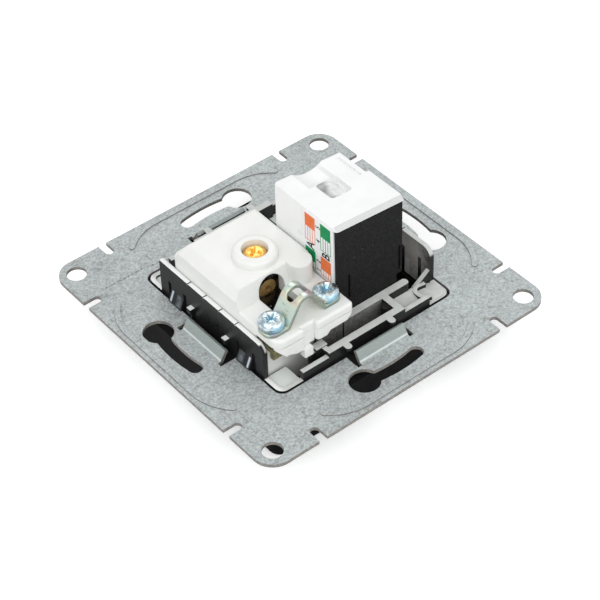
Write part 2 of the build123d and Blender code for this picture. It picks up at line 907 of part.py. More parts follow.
def clamp_strap():
    lower = strap_line(0)
    upper = strap_line(strap_thickness)
    ends = [Line(lower @ 0, upper @ 0), Line(lower @ 1, upper @ 1)]
    face = make_face([*lower.edges(), *upper.edges(), *[end.edges()[0] for end in ends]])
    strap = Pos(0, clamp_y - strap_width / 2, 0) * extrude(face, strap_width, dir=(0, 1, 0))
    corners = strap.edges().filter_by(Axis.Z).filter_by(lambda edge: abs(edge.length - strap_thickness) < 0.01)
    strap = fillet(corners, strap_foot_radius)
    slot = RectangleRounded(strap_hole_length, strap_hole_width, strap_hole_width * 0.3)
    crown_foot = plate_top + strap_arch_top - strap_thickness - strap_crown_radius
    strap -= slab(Pos(strap_hole_x, clamp_y) * slot, crown_foot, plate_top + strap_arch_top)
    for x in (clamp_screw_left, clamp_screw_right):
        strap -= rod(x, clamp_y, platform_top, platform_top + strap_thickness,
                     clamp_screw_diameter + slide_gap)
    return strap


def clamp_screws():
    under = platform_top + strap_thickness
    places = zip((clamp_screw_left, clamp_screw_right), clamp_screw_turns)
    screws = [screw(x, clamp_y, under, clamp_screw_head, clamp_screw_head_height,
                    clamp_screw_diameter, clamp_screw_tip(), turn) for x, turn in places]
    return Compound(children=screws)


def nut_plate_shape(gap, top):
    """The nut plate's solid outer shape: a web with a ring, and a flange down along the front."""
    left = tv_left + film_gap - gap
    right = clamp_screw_right + nut_plate_margin + gap
    front = clamp_y - strap_width / 2 - nut_plate_front - gap
    back = clamp_y + strap_width / 2 + gap
    under = nut_plate_under - gap
    web = block(left, right, front, back, under, top)
    web += block(tv_x - coax_flange_diameter / 2 - gap, tv_x + coax_flange_diameter / 2 + gap,
                 clamp_y, tv_y, under, top)
    web += rod(tv_x, tv_y, under, top, coax_flange_diameter + 2 * gap)
    low = nut_plate_under - nut_plate_flange - gap
    return web + block(left, right, front, front + nut_plate_thickness + 2 * gap, low, top)


def clamp_nut_plate():
    plate = nut_plate_shape(0, nut_plate_top)
    ring_hole = coax_sleeve_diameter - 2 * coax_sleeve_wall
    plate -= rod(tv_x, tv_y, nut_plate_under, nut_plate_top, ring_hole)
    for x in (clamp_screw_left, clamp_screw_right):
        plate -= rod(x, clamp_y, nut_plate_under, nut_plate_top, clamp_screw_diameter)
    return plate


# Data jack


def top_at(x):
    """The height of the jack's sloping top at a place across it."""
    return plate_top + jack_top - jack_top_fall * (x - jack_left)


def sloped(x0, x1, y0, y1, foot, drop):
    """A block whose top lies a given drop under the jack's sloping top."""
    return along_y([(x0, foot), (x1, foot), (x1, top_at(x1) - drop), (x0, top_at(x0) - drop)], y0, y1)


def jack_body():
    left = jack_left + jack_face_inset
    right = jack_right - jack_face_inset
    face_back = jack_front + jack_face_thickness
    body = block(left, jack_body_right, jack_front, jack_back - jack_body_inset, floor_top, board_under)
    body += block(jack_neck_left, jack_neck_right, jack_neck_front, jack_neck_back, port_inset, floor_top + 1)
    body &= block(left, jack_body_right, jack_front, jack_back, 0, board_under)
    body += sloped(left, right, jack_front, face_back, plate_top + jack_face_foot, jack_face_drop)
    slot_foot = plate_top + jack_slot_height
    for x in (jack_left + jack_slot_inset, jack_right - jack_slot_inset * 0.45):
        body -= block(x, x + jack_slot_width, jack_front, jack_front + jack_slot_depth,
                      slot_foot, slot_foot + jack_slot_height)
    body -= port_opening(0, port_inset, port_inset + port_depth)
    body -= carrier_pocket(film_gap)
    return body


def carrier_pocket(gap):
    """The room for the contact carrier, from the port's top up to the board."""
    half = port_width / 2
    return block(jack_x - half - gap, jack_x + half + gap, port_top_y - 0.01, jack_neck_back - 1.0 + gap,
                 port_inset + 1.6 - gap, board_under)


def wire_x(number):
    """The place of a contact wire across the port."""
    return jack_x + (number - (wire_count - 1) / 2) * wire_pitch


def jack_contact_carrier():
    carrier = carrier_pocket(0)
    carrier -= block(jack_x - port_width, jack_x + port_width, port_top_y - 1, port_top_y + 0.1, 0, board_under)
    for number in range(wire_count):
        x = wire_x(number)
        carrier -= block(x - comb_slot / 2, x + comb_slot / 2, port_top_y - 1, wire_y + 1.0,
                         port_inset + 2.2, board_under)
    return carrier


def contact_wire(number):
    """One spring contact: down from the board, round a bend and up across the port."""
    x = wire_x(number)
    path = FilletPolyline((x, wire_y, board_under), (x, wire_y, wire_low),
                          (x, wire_y - wire_reach, wire_low + wire_rise), radius=wire_bend_radius)
    section = Plane(origin=(x, wire_y, board_under), x_dir=(1, 0, 0), z_dir=(0, 0, -1))
    return sweep(section * Rectangle(wire_width, wire_thickness), path=path)


def jack_circuit_board():
    wall = cap_wall + slide_gap
    board = block(jack_left + wall, jack_right - cap_narrow - wall,
                  jack_front + jack_face_thickness + slide_gap, jack_back - wall, board_under, board_top)
    corners = board.edges().filter_by(Axis.Z)
    return fillet(corners, 0.8)


def blade_place(number):
    """The x and y of a blade: four along each of two rows."""
    return blade_rows[number // 4], blade_first_y + blade_pitch * (number % 4)


def wiring_blade(number):
    """One insulation-displacing blade: a flat fork standing on the board."""
    x, y = blade_place(number)
    top = board_top + blade_height
    half = blade_width / 2
    fork = blade_slot_width / 2
    crotch = top - blade_slot_depth
    profile = [
        (y - half, board_top),
        (y + half, board_top),
        (y + half, top - 0.8),
        (y + half - 0.5, top),
        (y + fork + 0.3, top),
        (y + fork, top - 0.8),
        (y + fork, crotch),
        (y - fork, crotch),
        (y - fork, top - 0.8),
        (y - fork - 0.3, top),
        (y - half + 0.5, top),
        (y - half, top - 0.8),
    ]
    return along_x(profile, x - blade_thickness / 2, x + blade_thickness / 2)


def jack_wiring_block():
    """The block that guides the blades, with a channel for each wire and a curved tongue on top."""
    wall = cap_wall + slide_gap
    left = jack_left + wall
    right = jack_right - cap_narrow - wall
    front = jack_front + jack_face_thickness + slide_gap
    back = jack_back - wall
    top = plate_top + block_top - jack_top_fall * jack_width
    body = block(left, right, front, back, board_top, top)
    for number in range(8):
        x, y = blade_place(number)
        reach = blade_thickness / 2 + slide_gap
        half = blade_width / 2 + slide_gap
        body -= block(x - reach, x + reach, y - half, y + half, board_top, top)
        side = left - 1 if number < 4 else right + 1
        inner = x + 1.6 if number < 4 else x - 1.6
        ends = sorted((side, inner))
        channel_foot = board_top + blade_height - blade_slot_depth
        body -= block(ends[0], ends[1], y - wire_channel / 2, y + wire_channel / 2, channel_foot, top)
    crest = Pos(window_x, window_y, top + crest_rise - crest_radius) * Rot(90, 0, 0)
    crest *= Cylinder(crest_radius, window_length)
    return body + (crest & block(left, right, front, back, top, top + crest_rise))


def jack_cap():
    wide = sloped(jack_left, jack_right, jack_front + jack_face_thickness + film_gap, cap_narrow_y,
                  plate_top + cap_foot, 0)
    narrow = sloped(jack_left, jack_right - cap_narrow, cap_narrow_y, jack_back, plate_top + cap_foot, 0)
    cap = wide + narrow
    inner_front = jack_front + jack_face_thickness
    cap -= sloped(jack_left + cap_wall, jack_right - cap_narrow - cap_wall, inner_front, jack_back - cap_wall,
                  plate_top + cap_foot, cap_top_thickness)
    brow = sloped(jack_left, jack_right, jack_front - film_gap, inner_front + cap_wall,
                  plate_top + jack_top - jack_top_fall * jack_width - 2, 0)
    brow -= sloped(jack_left - 1, jack_right + 1, jack_front - 1, inner_front + cap_wall + 1,
                   plate_top, jack_face_drop - film_gap)
    cap += brow
    cap = cut_front_chamfer(cap)
    cap = round_left_side(cap)
    cap -= cap_scoop()
    window = RectangleRounded(window_width, window_length, window_radius)
    cap -= slab(Pos(window_x, window_y) * window, board_top, plate_top + jack_top)
    groove_right = jack_right - cap_narrow - cap_wall
    strip = sloped(groove_right - cap_groove_width, groove_right, cap_narrow_y, jack_back - cap_wall, plate_top, 0)
    strip -= sloped(jack_left, jack_right, cap_narrow_y, jack_back, plate_top, cap_groove_depth)
    return cap - strip


def round_left_side(cap):
    """The cap with its left top edge bevelled and its front left corner rounded."""
    corner = cap.edges().filter_by(Axis.Z).group_by(Axis.X)[0].sort_by(Axis.Y)[0]
    cap = fillet(corner, cap_corner_radius)
    top_edge = cap.edges().filter_by(Axis.Y).group_by(Axis.X)[0].sort_by(Axis.Z)[-1]
    return chamfer(top_edge, cap_side_bevel)


def cut_front_chamfer(cap):
    """The sloping strip along the top's front edge."""
    front = jack_front - film_gap
    run = cap_chamfer
    shapes = []
    for x in (jack_left - 1, jack_right + 1):
        top = top_at(x)
        triangle = Polyline((x, front - 0.01, top - run), (x, front + run, top + 0.01),
                            (x, front - 0.01, top + 0.01), close=True)
        shapes.append(make_face(triangle))
    return cap - loft(shapes)


def cap_scoop():
    """The rounded scoop in the top's back edge."""
    half = scoop_width / 2
    radius = (half * half + scoop_depth * scoop_depth) / (2 * scoop_depth)
    middle = (scoop_end + jack_back) / 2 + 0.5
    centre_z = top_at(scoop_x) - scoop_depth + radius
    return Pos(scoop_x, middle, centre_z) * Rot(90, 0, 0) * Cylinder(radius, jack_back - scoop_end + 1)


def wiring_label():
    foot = plate_top + label_foot
    return block(jack_left - label_thickness, jack_left, label_front, label_front + label_length,
                 foot, foot + label_height)


pieces = {
    "mounting_plate": mounting_plate(),
    "front_cover": front_cover(),
    "insert_frame": insert_frame(),
    "tv_base": tv_base(),
    "tv_cover": tv_cover(),
    "terminal_screw": terminal_screw(),
    "terminal_block": terminal_block(),
    "terminal_holder": terminal_holder(),
    "coax_shell": coax_shell(),
    "coax_insulator": coax_insulator(),
    "coax_centre_contact": coax_centre_contact(),
    "clamp_strap": clamp_strap(),
    "clamp_screws": clamp_screws(),
    "clamp_nut_plate": clamp_nut_plate(),
    "jack_body": jack_body(),
    "jack_contact_carrier": jack_contact_carrier(),
    "jack_circuit_board": jack_circuit_board(),
    "jack_wiring_block": jack_wiring_block(),
    "jack_cap": jack_cap(),
    "wiring_label": wiring_label(),
}
for number in range(wire_count):
    pieces[f"jack_contact_wire_{number + 1}"] = contact_wire(number)
    pieces[f"jack_wiring_blade_{number + 1}"] = wiring_blade(number)

os.makedirs("parts", exist_ok=True)
for name, piece in pieces.items():
    export_step(piece, f"parts/{name}.step")
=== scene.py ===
# %% [markdown]
# # Dressing the tv and data socket insert
#
# The solids come from the CAD model: a steel mounting plate, a black insert frame, the white housing of
# the aerial outlet with its cable clamp, and the data jack with its white cap. Nothing is moved here. This
# lesson gives every solid the finish of the real thing, adds the print and a few small forms that the CAD
# model leaves plain, and lights it plainly.

# %% Load the solids
import math

import bmesh
import bpy
from mathutils import Matrix, Vector


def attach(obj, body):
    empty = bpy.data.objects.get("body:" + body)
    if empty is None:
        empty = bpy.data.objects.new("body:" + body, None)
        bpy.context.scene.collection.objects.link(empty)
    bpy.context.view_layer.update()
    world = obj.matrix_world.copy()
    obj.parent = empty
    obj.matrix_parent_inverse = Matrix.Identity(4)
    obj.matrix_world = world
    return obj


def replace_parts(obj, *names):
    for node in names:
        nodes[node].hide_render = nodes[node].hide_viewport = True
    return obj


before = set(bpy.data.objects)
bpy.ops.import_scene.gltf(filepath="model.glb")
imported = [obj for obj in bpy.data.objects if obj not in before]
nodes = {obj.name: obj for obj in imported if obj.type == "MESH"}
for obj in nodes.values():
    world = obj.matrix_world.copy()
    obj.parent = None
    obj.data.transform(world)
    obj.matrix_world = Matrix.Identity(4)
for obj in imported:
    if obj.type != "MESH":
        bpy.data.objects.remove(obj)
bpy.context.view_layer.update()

# %% [markdown]
# ## The camera
#
# The picture was taken from about 43 degrees above the plate with a long lens, so the sides of the plate
# run almost parallel. A camera could be aimed by eye, but then each edge lands a little wrong. Here its
# place was worked out once from the plate's corners and holes, and it is set as plain numbers.

# %% Camera
MM = 0.001
camera_place = Vector((-181.55, -235.39, 284.11)) * MM
azimuth, elevation, roll = (math.radians(v) for v in (-37.71, 43.16, -2.08))
back = Vector((math.sin(azimuth) * math.cos(elevation),
               -math.cos(azimuth) * math.cos(elevation), math.sin(elevation)))
right = (-back).cross(Vector((0, 0, 1))).normalized()
up = right.cross(-back)
across = right * math.cos(roll) + up * math.sin(roll)
upward = up * math.cos(roll) - right * math.sin(roll)

lens = bpy.data.cameras.new("camera")
lens.sensor_width = 36.0
lens.lens = 121.8
lens.clip_start, lens.clip_end = 0.01, 20.0
camera = bpy.data.objects.new("camera", lens)
camera.matrix_world = Matrix.Translation(camera_place) @ Matrix((across, upward, back)).transposed().to_4x4()
bpy.context.collection.objects.link(camera)
bpy.context.scene.camera = camera
print("camera", [round(v, 4) for v in camera.location],
      "looks down", round(math.degrees(elevation), 1), "degrees")

# %% [markdown]
# ## Shader maths as plain Python
#
# A finish that varies over a surface is a sum of noises and masks. Wiring Math nodes by hand hides the sum,
# so one small class wraps a socket and lets Python's own signs add the nodes. `node` makes any other node:
# its settings come first, then the values or links of its sockets.


# %% One class for every node
class Field:
    """A socket's value over a surface. Signs between fields and numbers add Math nodes."""

    def __init__(self, tree, socket=None):
        self.tree, self.socket = tree, socket

    def node(self, kind, settings=None, sockets=None, output=0):
        made = self.tree.nodes.new(kind)
        for name, value in (settings or {}).items():
            if name == "stops":
                stops = made.color_ramp.elements
                while len(stops) < len(value):
                    stops.new(0.5)
                for stop, (position, colour) in zip(stops, value):
                    stop.position, stop.color = position, (*colour, 1.0)
            else:
                setattr(made, name, value)
        for name, value in (sockets or {}).items():
            if isinstance(value, Field):
                self.tree.links.new(value.socket, made.inputs[name])
            else:
                made.inputs[name].default_value = value
        return Field(self.tree, made.outputs[output])

    def maths(self, operation, *values):
        return self.node("ShaderNodeMath", {"operation": operation}, dict(enumerate(values)))

    def __add__(self, other):
        return self.maths("ADD", self, other)

    def __sub__(self, other):
        return self.maths("SUBTRACT", self, other)

    def __rsub__(self, other):
        return self.maths("SUBTRACT", other, self)

    def __mul__(self, other):
        return self.maths("MULTIPLY", self, other)

    def __abs__(self):
        return self.maths("ABSOLUTE", self)

    def __gt__(self, other):
        return self.maths("GREATER_THAN", self, other)

    def __lt__(self, other):
        return self.maths("LESS_THAN", self, other)

    __radd__, __rmul__ = __add__, __mul__


# %% [markdown]
# ## Patterns in millimetres
#
# Every solid sits at the origin with its place in its mesh, so Object coordinates are the part's own metres.
# Scaled by a thousand they are millimetres, and one noise runs on unbroken over the pieces. These few
# patterns are all that the finishes below need.


# %% Patterns
def place(tree, stretch=(1, 1, 1)):
    """Object coordinates in millimetres, stretched along an axis if asked."""
    start = Field(tree).node("ShaderNodeTexCoord", output="Object")
    scale = tuple(1000.0 * s for s in stretch)
    return start.node("ShaderNodeMapping", None, {"Vector": start, "Scale": scale})


def noise(tree, size, detail=2.0, stretch=(1, 1, 1)):
    """Soft noise whose blobs are about size millimetres across, from 0 to 1."""
    where = place(tree, stretch)
    return where.node("ShaderNodeTexNoise", None, {"Vector": where, "Scale": 1.0 / size, "Detail": detail})


def ramp(value, low, high):
    """0 below low, 1 above high and a straight run between."""
    sockets = {"Value": value, "From Min": low, "From Max": high}
    return value.node("ShaderNodeMapRange", {"clamp": True}, sockets)


def clouds(tree, size, detail=3.0, spread=0.2):
    """Noise pulled apart so that it uses the whole way from 0 to 1."""
    return ramp(noise(tree, size, detail), 0.5 - spread, 0.5 + spread)


def specks(tree, spacing, size, share):
    """Round specks, size across, in a share of the cells of a loose grid."""
    where = place(tree)
    cells = where.node("ShaderNodeTexVoronoi", {"feature": "F1"},
                       {"Vector": where, "Scale": 1.0 / spacing}, output="Distance")
    chance = Field(tree, cells.socket.node.outputs["Color"])
    chance = chance.node("ShaderNodeSeparateColor", None, {"Color": chance})
    return (1 - ramp(cells, 0.35 * size / spacing, 0.65 * size / spacing)) * (chance < share)


def along(tree, axis):
    """One coordinate in millimetres: 0 is x, 1 is y, 2 is z."""
    where = place(tree)
    return where.node("ShaderNodeSeparateXYZ", None, {"Vector": where}, output=axis)


def facing(tree, axis):
    """How far a face looks along an axis, from -1 to 1."""
    start = Field(tree).node("ShaderNodeTexCoord", output="Normal")
    return start.node("ShaderNodeSeparateXYZ", None, {"Vector": start}, output=axis)


def spot(tree, centre, radius, soft):
    """1 inside a ball round a point, fading out over soft millimetres."""
    where = place(tree)
    away = where.node("ShaderNodeVectorMath", {"operation": "DISTANCE"}, {0: where, 1: centre},
                      output="Value")
    return 1 - ramp(away, radius - soft, radius + soft)


def band(value, low, high, soft=0.02):
    """1 between two values."""
    return ramp(value, low - soft, low + soft) * (1 - ramp(value, high - soft, high + soft))


def stroke(tree, start, end, width):
    """1 along a line between two points that are level with each other."""
    run = Vector(end) - Vector(start)
    where = place(tree)
    arm = where.node("ShaderNodeVectorMath", {"operation": "SUBTRACT"}, {0: where, 1: start})
    share = arm.node("ShaderNodeVectorMath", {"operation": "DOT_PRODUCT"},
                     {0: arm, 1: tuple(run / run.length_squared)}, output="Value")
    share = ramp(share, 0.0, 1.0)
    foot = share.node("ShaderNodeCombineXYZ", None, {0: share * run.x, 1: share * run.y, 2: share * run.z})
    away = arm.node("ShaderNodeVectorMath", {"operation": "DISTANCE"}, {0: arm, 1: foot}, output="Value")
    return 1 - ramp(away, width * 0.3, width * 0.7)


def srgb(red, green, blue):
    """A colour as a picture shows it, from 0 to 255, turned into light."""
    return tuple(((v / 255 + 0.055) / 1.055) ** 2.4 if v > 10 else v / 255 / 12.92
                 for v in (red, green, blue))


def blend(factor, first, second):
    """One colour where the factor is 0, the other where it is 1."""
    sockets = {0: factor, 6: (*first, 1.0) if isinstance(first, tuple) else first,
               7: (*second, 1.0) if isinstance(second, tuple) else second}
    return factor.node("ShaderNodeMix", {"data_type": "RGBA"}, sockets, output=2)


def soft_edges(tree, radius):
    """The normal that a small rounding of every edge would give."""
    return Field(tree).node("ShaderNodeBevel", {"samples": 6}, {"Radius": radius * MM})


def bump(height, distance, over=None):
    """A normal from a height field whose full range is distance millimetres."""
    sockets = {"Height": height, "Distance": distance * MM, "Strength": 1.0}
    if over:
        sockets["Normal"] = over
    return height.node("ShaderNodeBump", None, sockets)


def finish(name, **fixed):
    """A new material, with the numbers that are the same all over set on the shader itself."""
    made = bpy.data.materials.new(name)
    made.use_nodes = True
    shader = made.node_tree.nodes["Principled BSDF"]
    for socket, value in fixed.items():
        shader.inputs[socket.replace("_", " ")].default_value = value
    return made, made.node_tree


def feed(material, **fields):
    """Links fields to the shader's sockets."""
    shader = material.node_tree.nodes["Principled BSDF"]
    for socket, value in fields.items():
        material.node_tree.links.new(value.socket, shader.inputs[socket.replace("_", " ")])
    return material


def wear(material, *solids):
    """Gives every face of some CAD solids one finish."""
    for solid in solids:
        mesh = nodes[solid].data
        mesh.materials.clear()
        mesh.materials.append(material)
    print(material.name, "on", len(solids), "solids")


# %% [markdown]
# ## Stage
#
# A white sweep under the part, as on a product table. The floor's own colour is pale and keeps the part's
# shadow. A little light of its own, which only the camera and shiny surfaces see, brings the bare floor up
# to white, and the world does the same beyond it. A tent has an opening where the picture is taken from, so
# one patch of the world, fixed in the room, is dim in reflections and gives shiny metal its dark tones.


# %% Floor and world
FLOOR_HALF = 3.0
PAPER_GLOW = 0.45
ROOM_LIGHT, ROOM_EXTRA = 0.66, 0.34
OPENING_DIM, OPENING_RIM, OPENING_CORE = 0.85, 0.90, 0.97


def sheet(name, half):
    """A level square with a half width in metres."""
    mesh = bpy.data.meshes.new(name)
    corners = [(-half, -half, 0), (half, -half, 0), (half, half, 0), (-half, half, 0)]
    mesh.from_pydata(corners, [], [(0, 1, 2, 3)])
    made = bpy.data.objects.new(name, mesh)
    bpy.context.collection.objects.link(made)
    return made


def ways_seen(tree):
    """Two masks: what is seen straight on or mirrored, and what is mirrored alone."""
    seen = Field(tree).node("ShaderNodeLightPath", output="Is Camera Ray")
    mirrored = Field(tree, seen.socket.node.outputs["Is Glossy Ray"])
    return seen.maths("MAXIMUM", seen, mirrored), mirrored


floor = sheet("floor", FLOOR_HALF)
floor.location.z = -0.0002
paper, tree = finish("paper", Roughness=0.9, Base_Color=(0.88, 0.88, 0.88, 1), Specular_IOR_Level=0.1,
                     Emission_Color=(1, 1, 1, 1))
feed(paper, Emission_Strength=PAPER_GLOW * ways_seen(tree)[0])
floor.data.materials.append(paper)

world = bpy.data.worlds.new("studio")
bpy.context.scene.world = world
world.use_nodes = True
room = world.node_tree.nodes["Background"]
room.inputs["Color"].default_value = (1, 1, 1, 1)
either, mirrored = ways_seen(world.node_tree)
sky = either.node("ShaderNodeTexCoord", output="Generated")
towards_opening = sky.node("ShaderNodeVectorMath", {"operation": "DOT_PRODUCT"},
                           {0: sky, 1: tuple(back)}, output="Value")
opening = OPENING_DIM * ramp(towards_opening, OPENING_RIM, OPENING_CORE)
strength = (ROOM_LIGHT + ROOM_EXTRA * either) * (1 - opening * mirrored)
world.node_tree.links.new(strength.socket, room.inputs["Strength"])
print("room light", ROOM_LIGHT, "and", ROOM_LIGHT + ROOM_EXTRA, "where it is seen or mirrored")

# %% [markdown]
# ## Light
#
# The photo has almost no shadows: a white tent lights the part from all round, a little more from the left.
# So the room gives most of the light, and three panels add to it: a wide one on the left, a weaker one in
# front, and one behind the part, where level faces mirror it to the lens. That last one only feeds
# reflections.


# %% Panels
PANEL_DISTANCE = 1.0


def panel(name, towards, size, radiance, mirror_only=False):
    """A soft panel that faces the part, its size in metres. Its brightness is 1 where paper is white."""
    light = bpy.data.lights.new(name, "AREA")
    light.shape = "RECTANGLE"
    light.size, light.size_y = size
    light.energy = radiance * math.pi * size[0] * size[1]
    made = bpy.data.objects.new(name, light)
    made.location = towards * PANEL_DISTANCE + Vector((0, 0, 0.02))
    made.rotation_mode = "QUATERNION"
    made.rotation_quaternion = towards.to_track_quat("Z", "Y")
    made.visible_diffuse = not mirror_only
    bpy.context.collection.objects.link(made)
    print(name, "gives", round(light.energy, 1), "watts")


mirror_way = Vector((-back.x, -back.y, back.z)).normalized()
panel("back_panel", mirror_way, (0.5, 0.4), 1.8, mirror_only=True)
panel("left_panel", Vector((-0.8, -0.3, 1.0)).normalized(), (1.2, 1.0), 1.1)
panel("front_panel", Vector((0.25, -1.0, 0.8)).normalized(), (1.2, 0.8), 0.9)
bpy.context.scene.view_settings.view_transform = "Standard"

# %% [markdown]
# ## Galvanised steel
#
# The plate is zinc-coated sheet: dull grey with a fine grain, cloudy where the coat is thicker, and brown
# along the cut edges, where the bare steel shows. Handling left a dotted scratch across the left arm and a
# few dark smears in the corners. Grain and clouds are noises of different size; the marks are strokes and
# spots at their places. The bent lugs lean away from the light, so their colour carries painted shade, a
# darker, greener tone, and a painted highlight, a bright line where the sheet folds up.

# %% Steel plate
PLATE_TOP = 9.5
SCRATCH_WIDTH = 0.35
LEANING = (0.35, 0.95)
steel, tree = finish("galvanised_steel")
grain = clouds(tree, 0.42, 2.0, spread=0.14)
cloud = clouds(tree, 1.6)
patch = clouds(tree, 17.0, 2.0)
coat = blend(grain * 0.6 + cloud * 0.15 + patch * 0.25, srgb(143, 148, 147), srgb(204, 211, 212))
pits = ramp(noise(tree, 0.9, 1.0), 0.60, 0.70) * 0.4
coat = blend(pits, coat, srgb(118, 118, 110))
smears = [((-26.5, 29.5, PLATE_TOP), 1.6, 1.4), ((-31.0, 21.5, PLATE_TOP), 1.0, 0.9)]
dirt = noise(tree, 0.9, 4.0)
smear = sum((spot(tree, *ball) for ball in smears[1:]), spot(tree, *smears[0]))
coat = blend(smear * ramp(dirt, 0.42, 0.62) * 0.6, coat, srgb(70, 70, 68))
scratch_points = [(-29.6, 24.3, PLATE_TOP), (-25.0, 24.2, PLATE_TOP),
                  (-20.5, 24.3, PLATE_TOP), (-13.6, 22.7, PLATE_TOP)]
scratch = stroke(tree, scratch_points[0], scratch_points[1], SCRATCH_WIDTH)
for start, end in zip(scratch_points[1:], scratch_points[2:]):
    scratch = scratch.maths("MAXIMUM", scratch, stroke(tree, start, end, SCRATCH_WIDTH))
coat = blend(scratch * ramp(noise(tree, 0.45, 1.0), 0.44, 0.56) * 0.75, coat, srgb(66, 66, 64))
# Painted shade on the leaning faces of the lugs, with a painted highlight along the line where they fold up.
lean_shade = band(facing(tree, 2), *LEANING, 0.03)
height = along(tree, 2)
fold_highlight = band(height, PLATE_TOP + 0.05, PLATE_TOP + 0.4, 0.12)
coat = blend(lean_shade * 0.75, coat, blend(fold_highlight, srgb(152, 163, 159), srgb(232, 240, 238)))
side = 1 - ramp(abs(facing(tree, 2)), 0.2, 0.35)
rust = blend(clouds(tree, 0.35, 2.0), srgb(88, 80, 72), srgb(146, 142, 136))
feed(steel, Base_Color=blend(side * 0.85, coat, rust), Metallic=0.3 - side * 0.2,
     Roughness=0.56 + 0.16 * grain + 0.1 * smear,
     Normal=bump(noise(tree, 0.4, 3.0), 0.012, soft_edges(tree, 0.12)))
wear(steel, "mounting_plate")

# %% [markdown]
# ## Black plastic
#
# The frame and the cover under it are moulded in a glossy black plastic. Its upright faces are near black,
# but the plastic mirrors the tent, so every level face above the plate shows pale grey, brightest along the
# left rim. Lights alone could not give that and keep the upright faces black. So masks on a face's
# direction, height and place paint these reflections, some glints and some shade into the frame's colour,
# over a fine haze and a little pale dust: a painted reflection on the level faces, brightest on the left rim
# and paler still on the corner floors, which keep a darker border; painted glints in streaks on the sloping
# snap noses; the inside of the right wall in grey, with painted shade darker towards its front and top, a
# paler tongue and the black gap round it; a mid grey on the long face in the front channel; and the top of
# the post, which is left out of the painted reflection and stays dark. Heights and places are in millimetres.

# %% Places of the tones
FLANGE_TOP = 8.7
LEFT_WALL, RIGHT_WALL = -21.0, 20.0
# Places of the painted glints on the snap noses.
NOSE_GLINT, NOSE_SOFT_GLINT = (12.0, 12.5), (9.3, 10.6)
FLOOR_TOP, BORDER = (9.1, 9.2), (21.3, 21.5)
TONGUE_WIDTH, TONGUE_HEIGHT = (-10.4, -7.3), (7.2, 11.4)
GAP_WIDTH, GAP_TOP = (-7.3, -4.0), 10.4
CHANNEL_FACE, CHANNEL_LENGTH = (-16.5, -16.0), (-8.6, 8.0)
POST_TOP, POST_WIDTH = (12.1, 12.3), (6.4, 8.8)
print("level faces show pale from", FLANGE_TOP, "mm up")

# %% Frame and front cover
black, tree = finish("black_plastic", IOR=1.45, Specular_IOR_Level=0.3)
haze = clouds(tree, 1.3, 4.0, spread=0.25)
dust = specks(tree, 1.1, 0.16, 0.22)
deep = blend(haze, srgb(28, 28, 28), srgb(38, 38, 38))
x, y, z = (along(tree, axis) for axis in range(3))
# Painted reflection: level faces above the flange are pale grey, brightest on the left rim.
level = ramp(facing(tree, 2), 0.2, 0.45) * ramp(z, FLANGE_TOP + 0.05, FLANGE_TOP + 0.15)
left_rim = (1 - ramp(x, LEFT_WALL, LEFT_WALL + 1.0)) * ramp(facing(tree, 2), 0.85, 0.95)
painted_reflection = blend(left_rim, blend(haze, srgb(198, 201, 198), srgb(214, 217, 214)), srgb(242, 244, 243))
# Painted glints: pale streaks on the sloping snap noses.
sloping = (x < LEFT_WALL) * band(facing(tree, 2), 0.1, 0.9, 0.04)
nose_glint = band(abs(y), *NOSE_GLINT, 0.1) + 0.35 * band(abs(y), *NOSE_SOFT_GLINT, 0.4) * haze
painted_reflection = blend(sloping, painted_reflection, blend(nose_glint, srgb(36, 37, 42), srgb(226, 238, 250)))
# The corner floors are paler still in the painted reflection, darker along their outer border.
floors = 1 - ramp(z, *FLOOR_TOP)
border = ramp(abs(x).maths("MAXIMUM", abs(x), abs(y)), *BORDER)
painted_reflection = blend(floors, painted_reflection, blend(border, srgb(226, 231, 228), srgb(204, 207, 204)))
# The inside of the right wall in grey, with painted shade darker towards its front and top, a paler tongue,
# and black below it and in the gap.
inner_side = ramp(0 - facing(tree, 0), 0.5, 0.8) * (x > RIGHT_WALL) * (z > PLATE_TOP - 4.0)
shade = ramp(y, -16.0, -12.5) * (1 - 0.5 * ramp(z, 14.0, 18.0))
grey = blend(shade * 0.8 + 0.2 * haze, srgb(56, 54, 52), srgb(182, 180, 176))
tongue = band(y, *TONGUE_WIDTH, 0.05) * band(z, *TONGUE_HEIGHT, 0.1)
below = (z < TONGUE_HEIGHT[0]) + band(y, *GAP_WIDTH, 0.05) * (z < GAP_TOP)
grey = blend(below.maths("MINIMUM", below, 1.0), blend(tongue, grey, srgb(204, 204, 206)), deep)
# The long face in the front channel is painted a mid grey mottle, lighter towards the right.
channel = ramp(0 - facing(tree, 1), 0.5, 0.8) * band(y, *CHANNEL_FACE) * band(x, *CHANNEL_LENGTH)
channel_mottle = 0.6 * clouds(tree, 0.6) + 0.4 * ramp(x, -6.0, 7.0)
deep = blend(channel, deep, blend(channel_mottle, srgb(92, 91, 90), srgb(148, 147, 146)))
# The top of the post is left out of the painted reflection and stays dark.
post_top = band(z, *POST_TOP) * band(x, *POST_WIDTH)
deep = blend(level * (1 - post_top), blend(inner_side, deep, grey), painted_reflection)
feed(black, Base_Color=blend(dust * 0.4, deep, srgb(150, 148, 144)),
     Roughness=0.24 + 0.12 * haze + 0.3 * level,
     Normal=bump(noise(tree, 0.35, 2.0), 0.004, soft_edges(tree, 0.15)))
wear(black, "insert_frame")

cover_black, tree = finish("cover_black", IOR=1.35, Specular_IOR_Level=0.03)
haze = clouds(tree, 1.6, 4.0)
feed(cover_black, Base_Color=blend(haze, srgb(16, 16, 16), srgb(26, 26, 26)), Roughness=0.34 + 0.14 * haze,
     Normal=bump(noise(tree, 0.35, 2.0), 0.004, soft_edges(tree, 0.15)))
wear(cover_black, "front_cover")

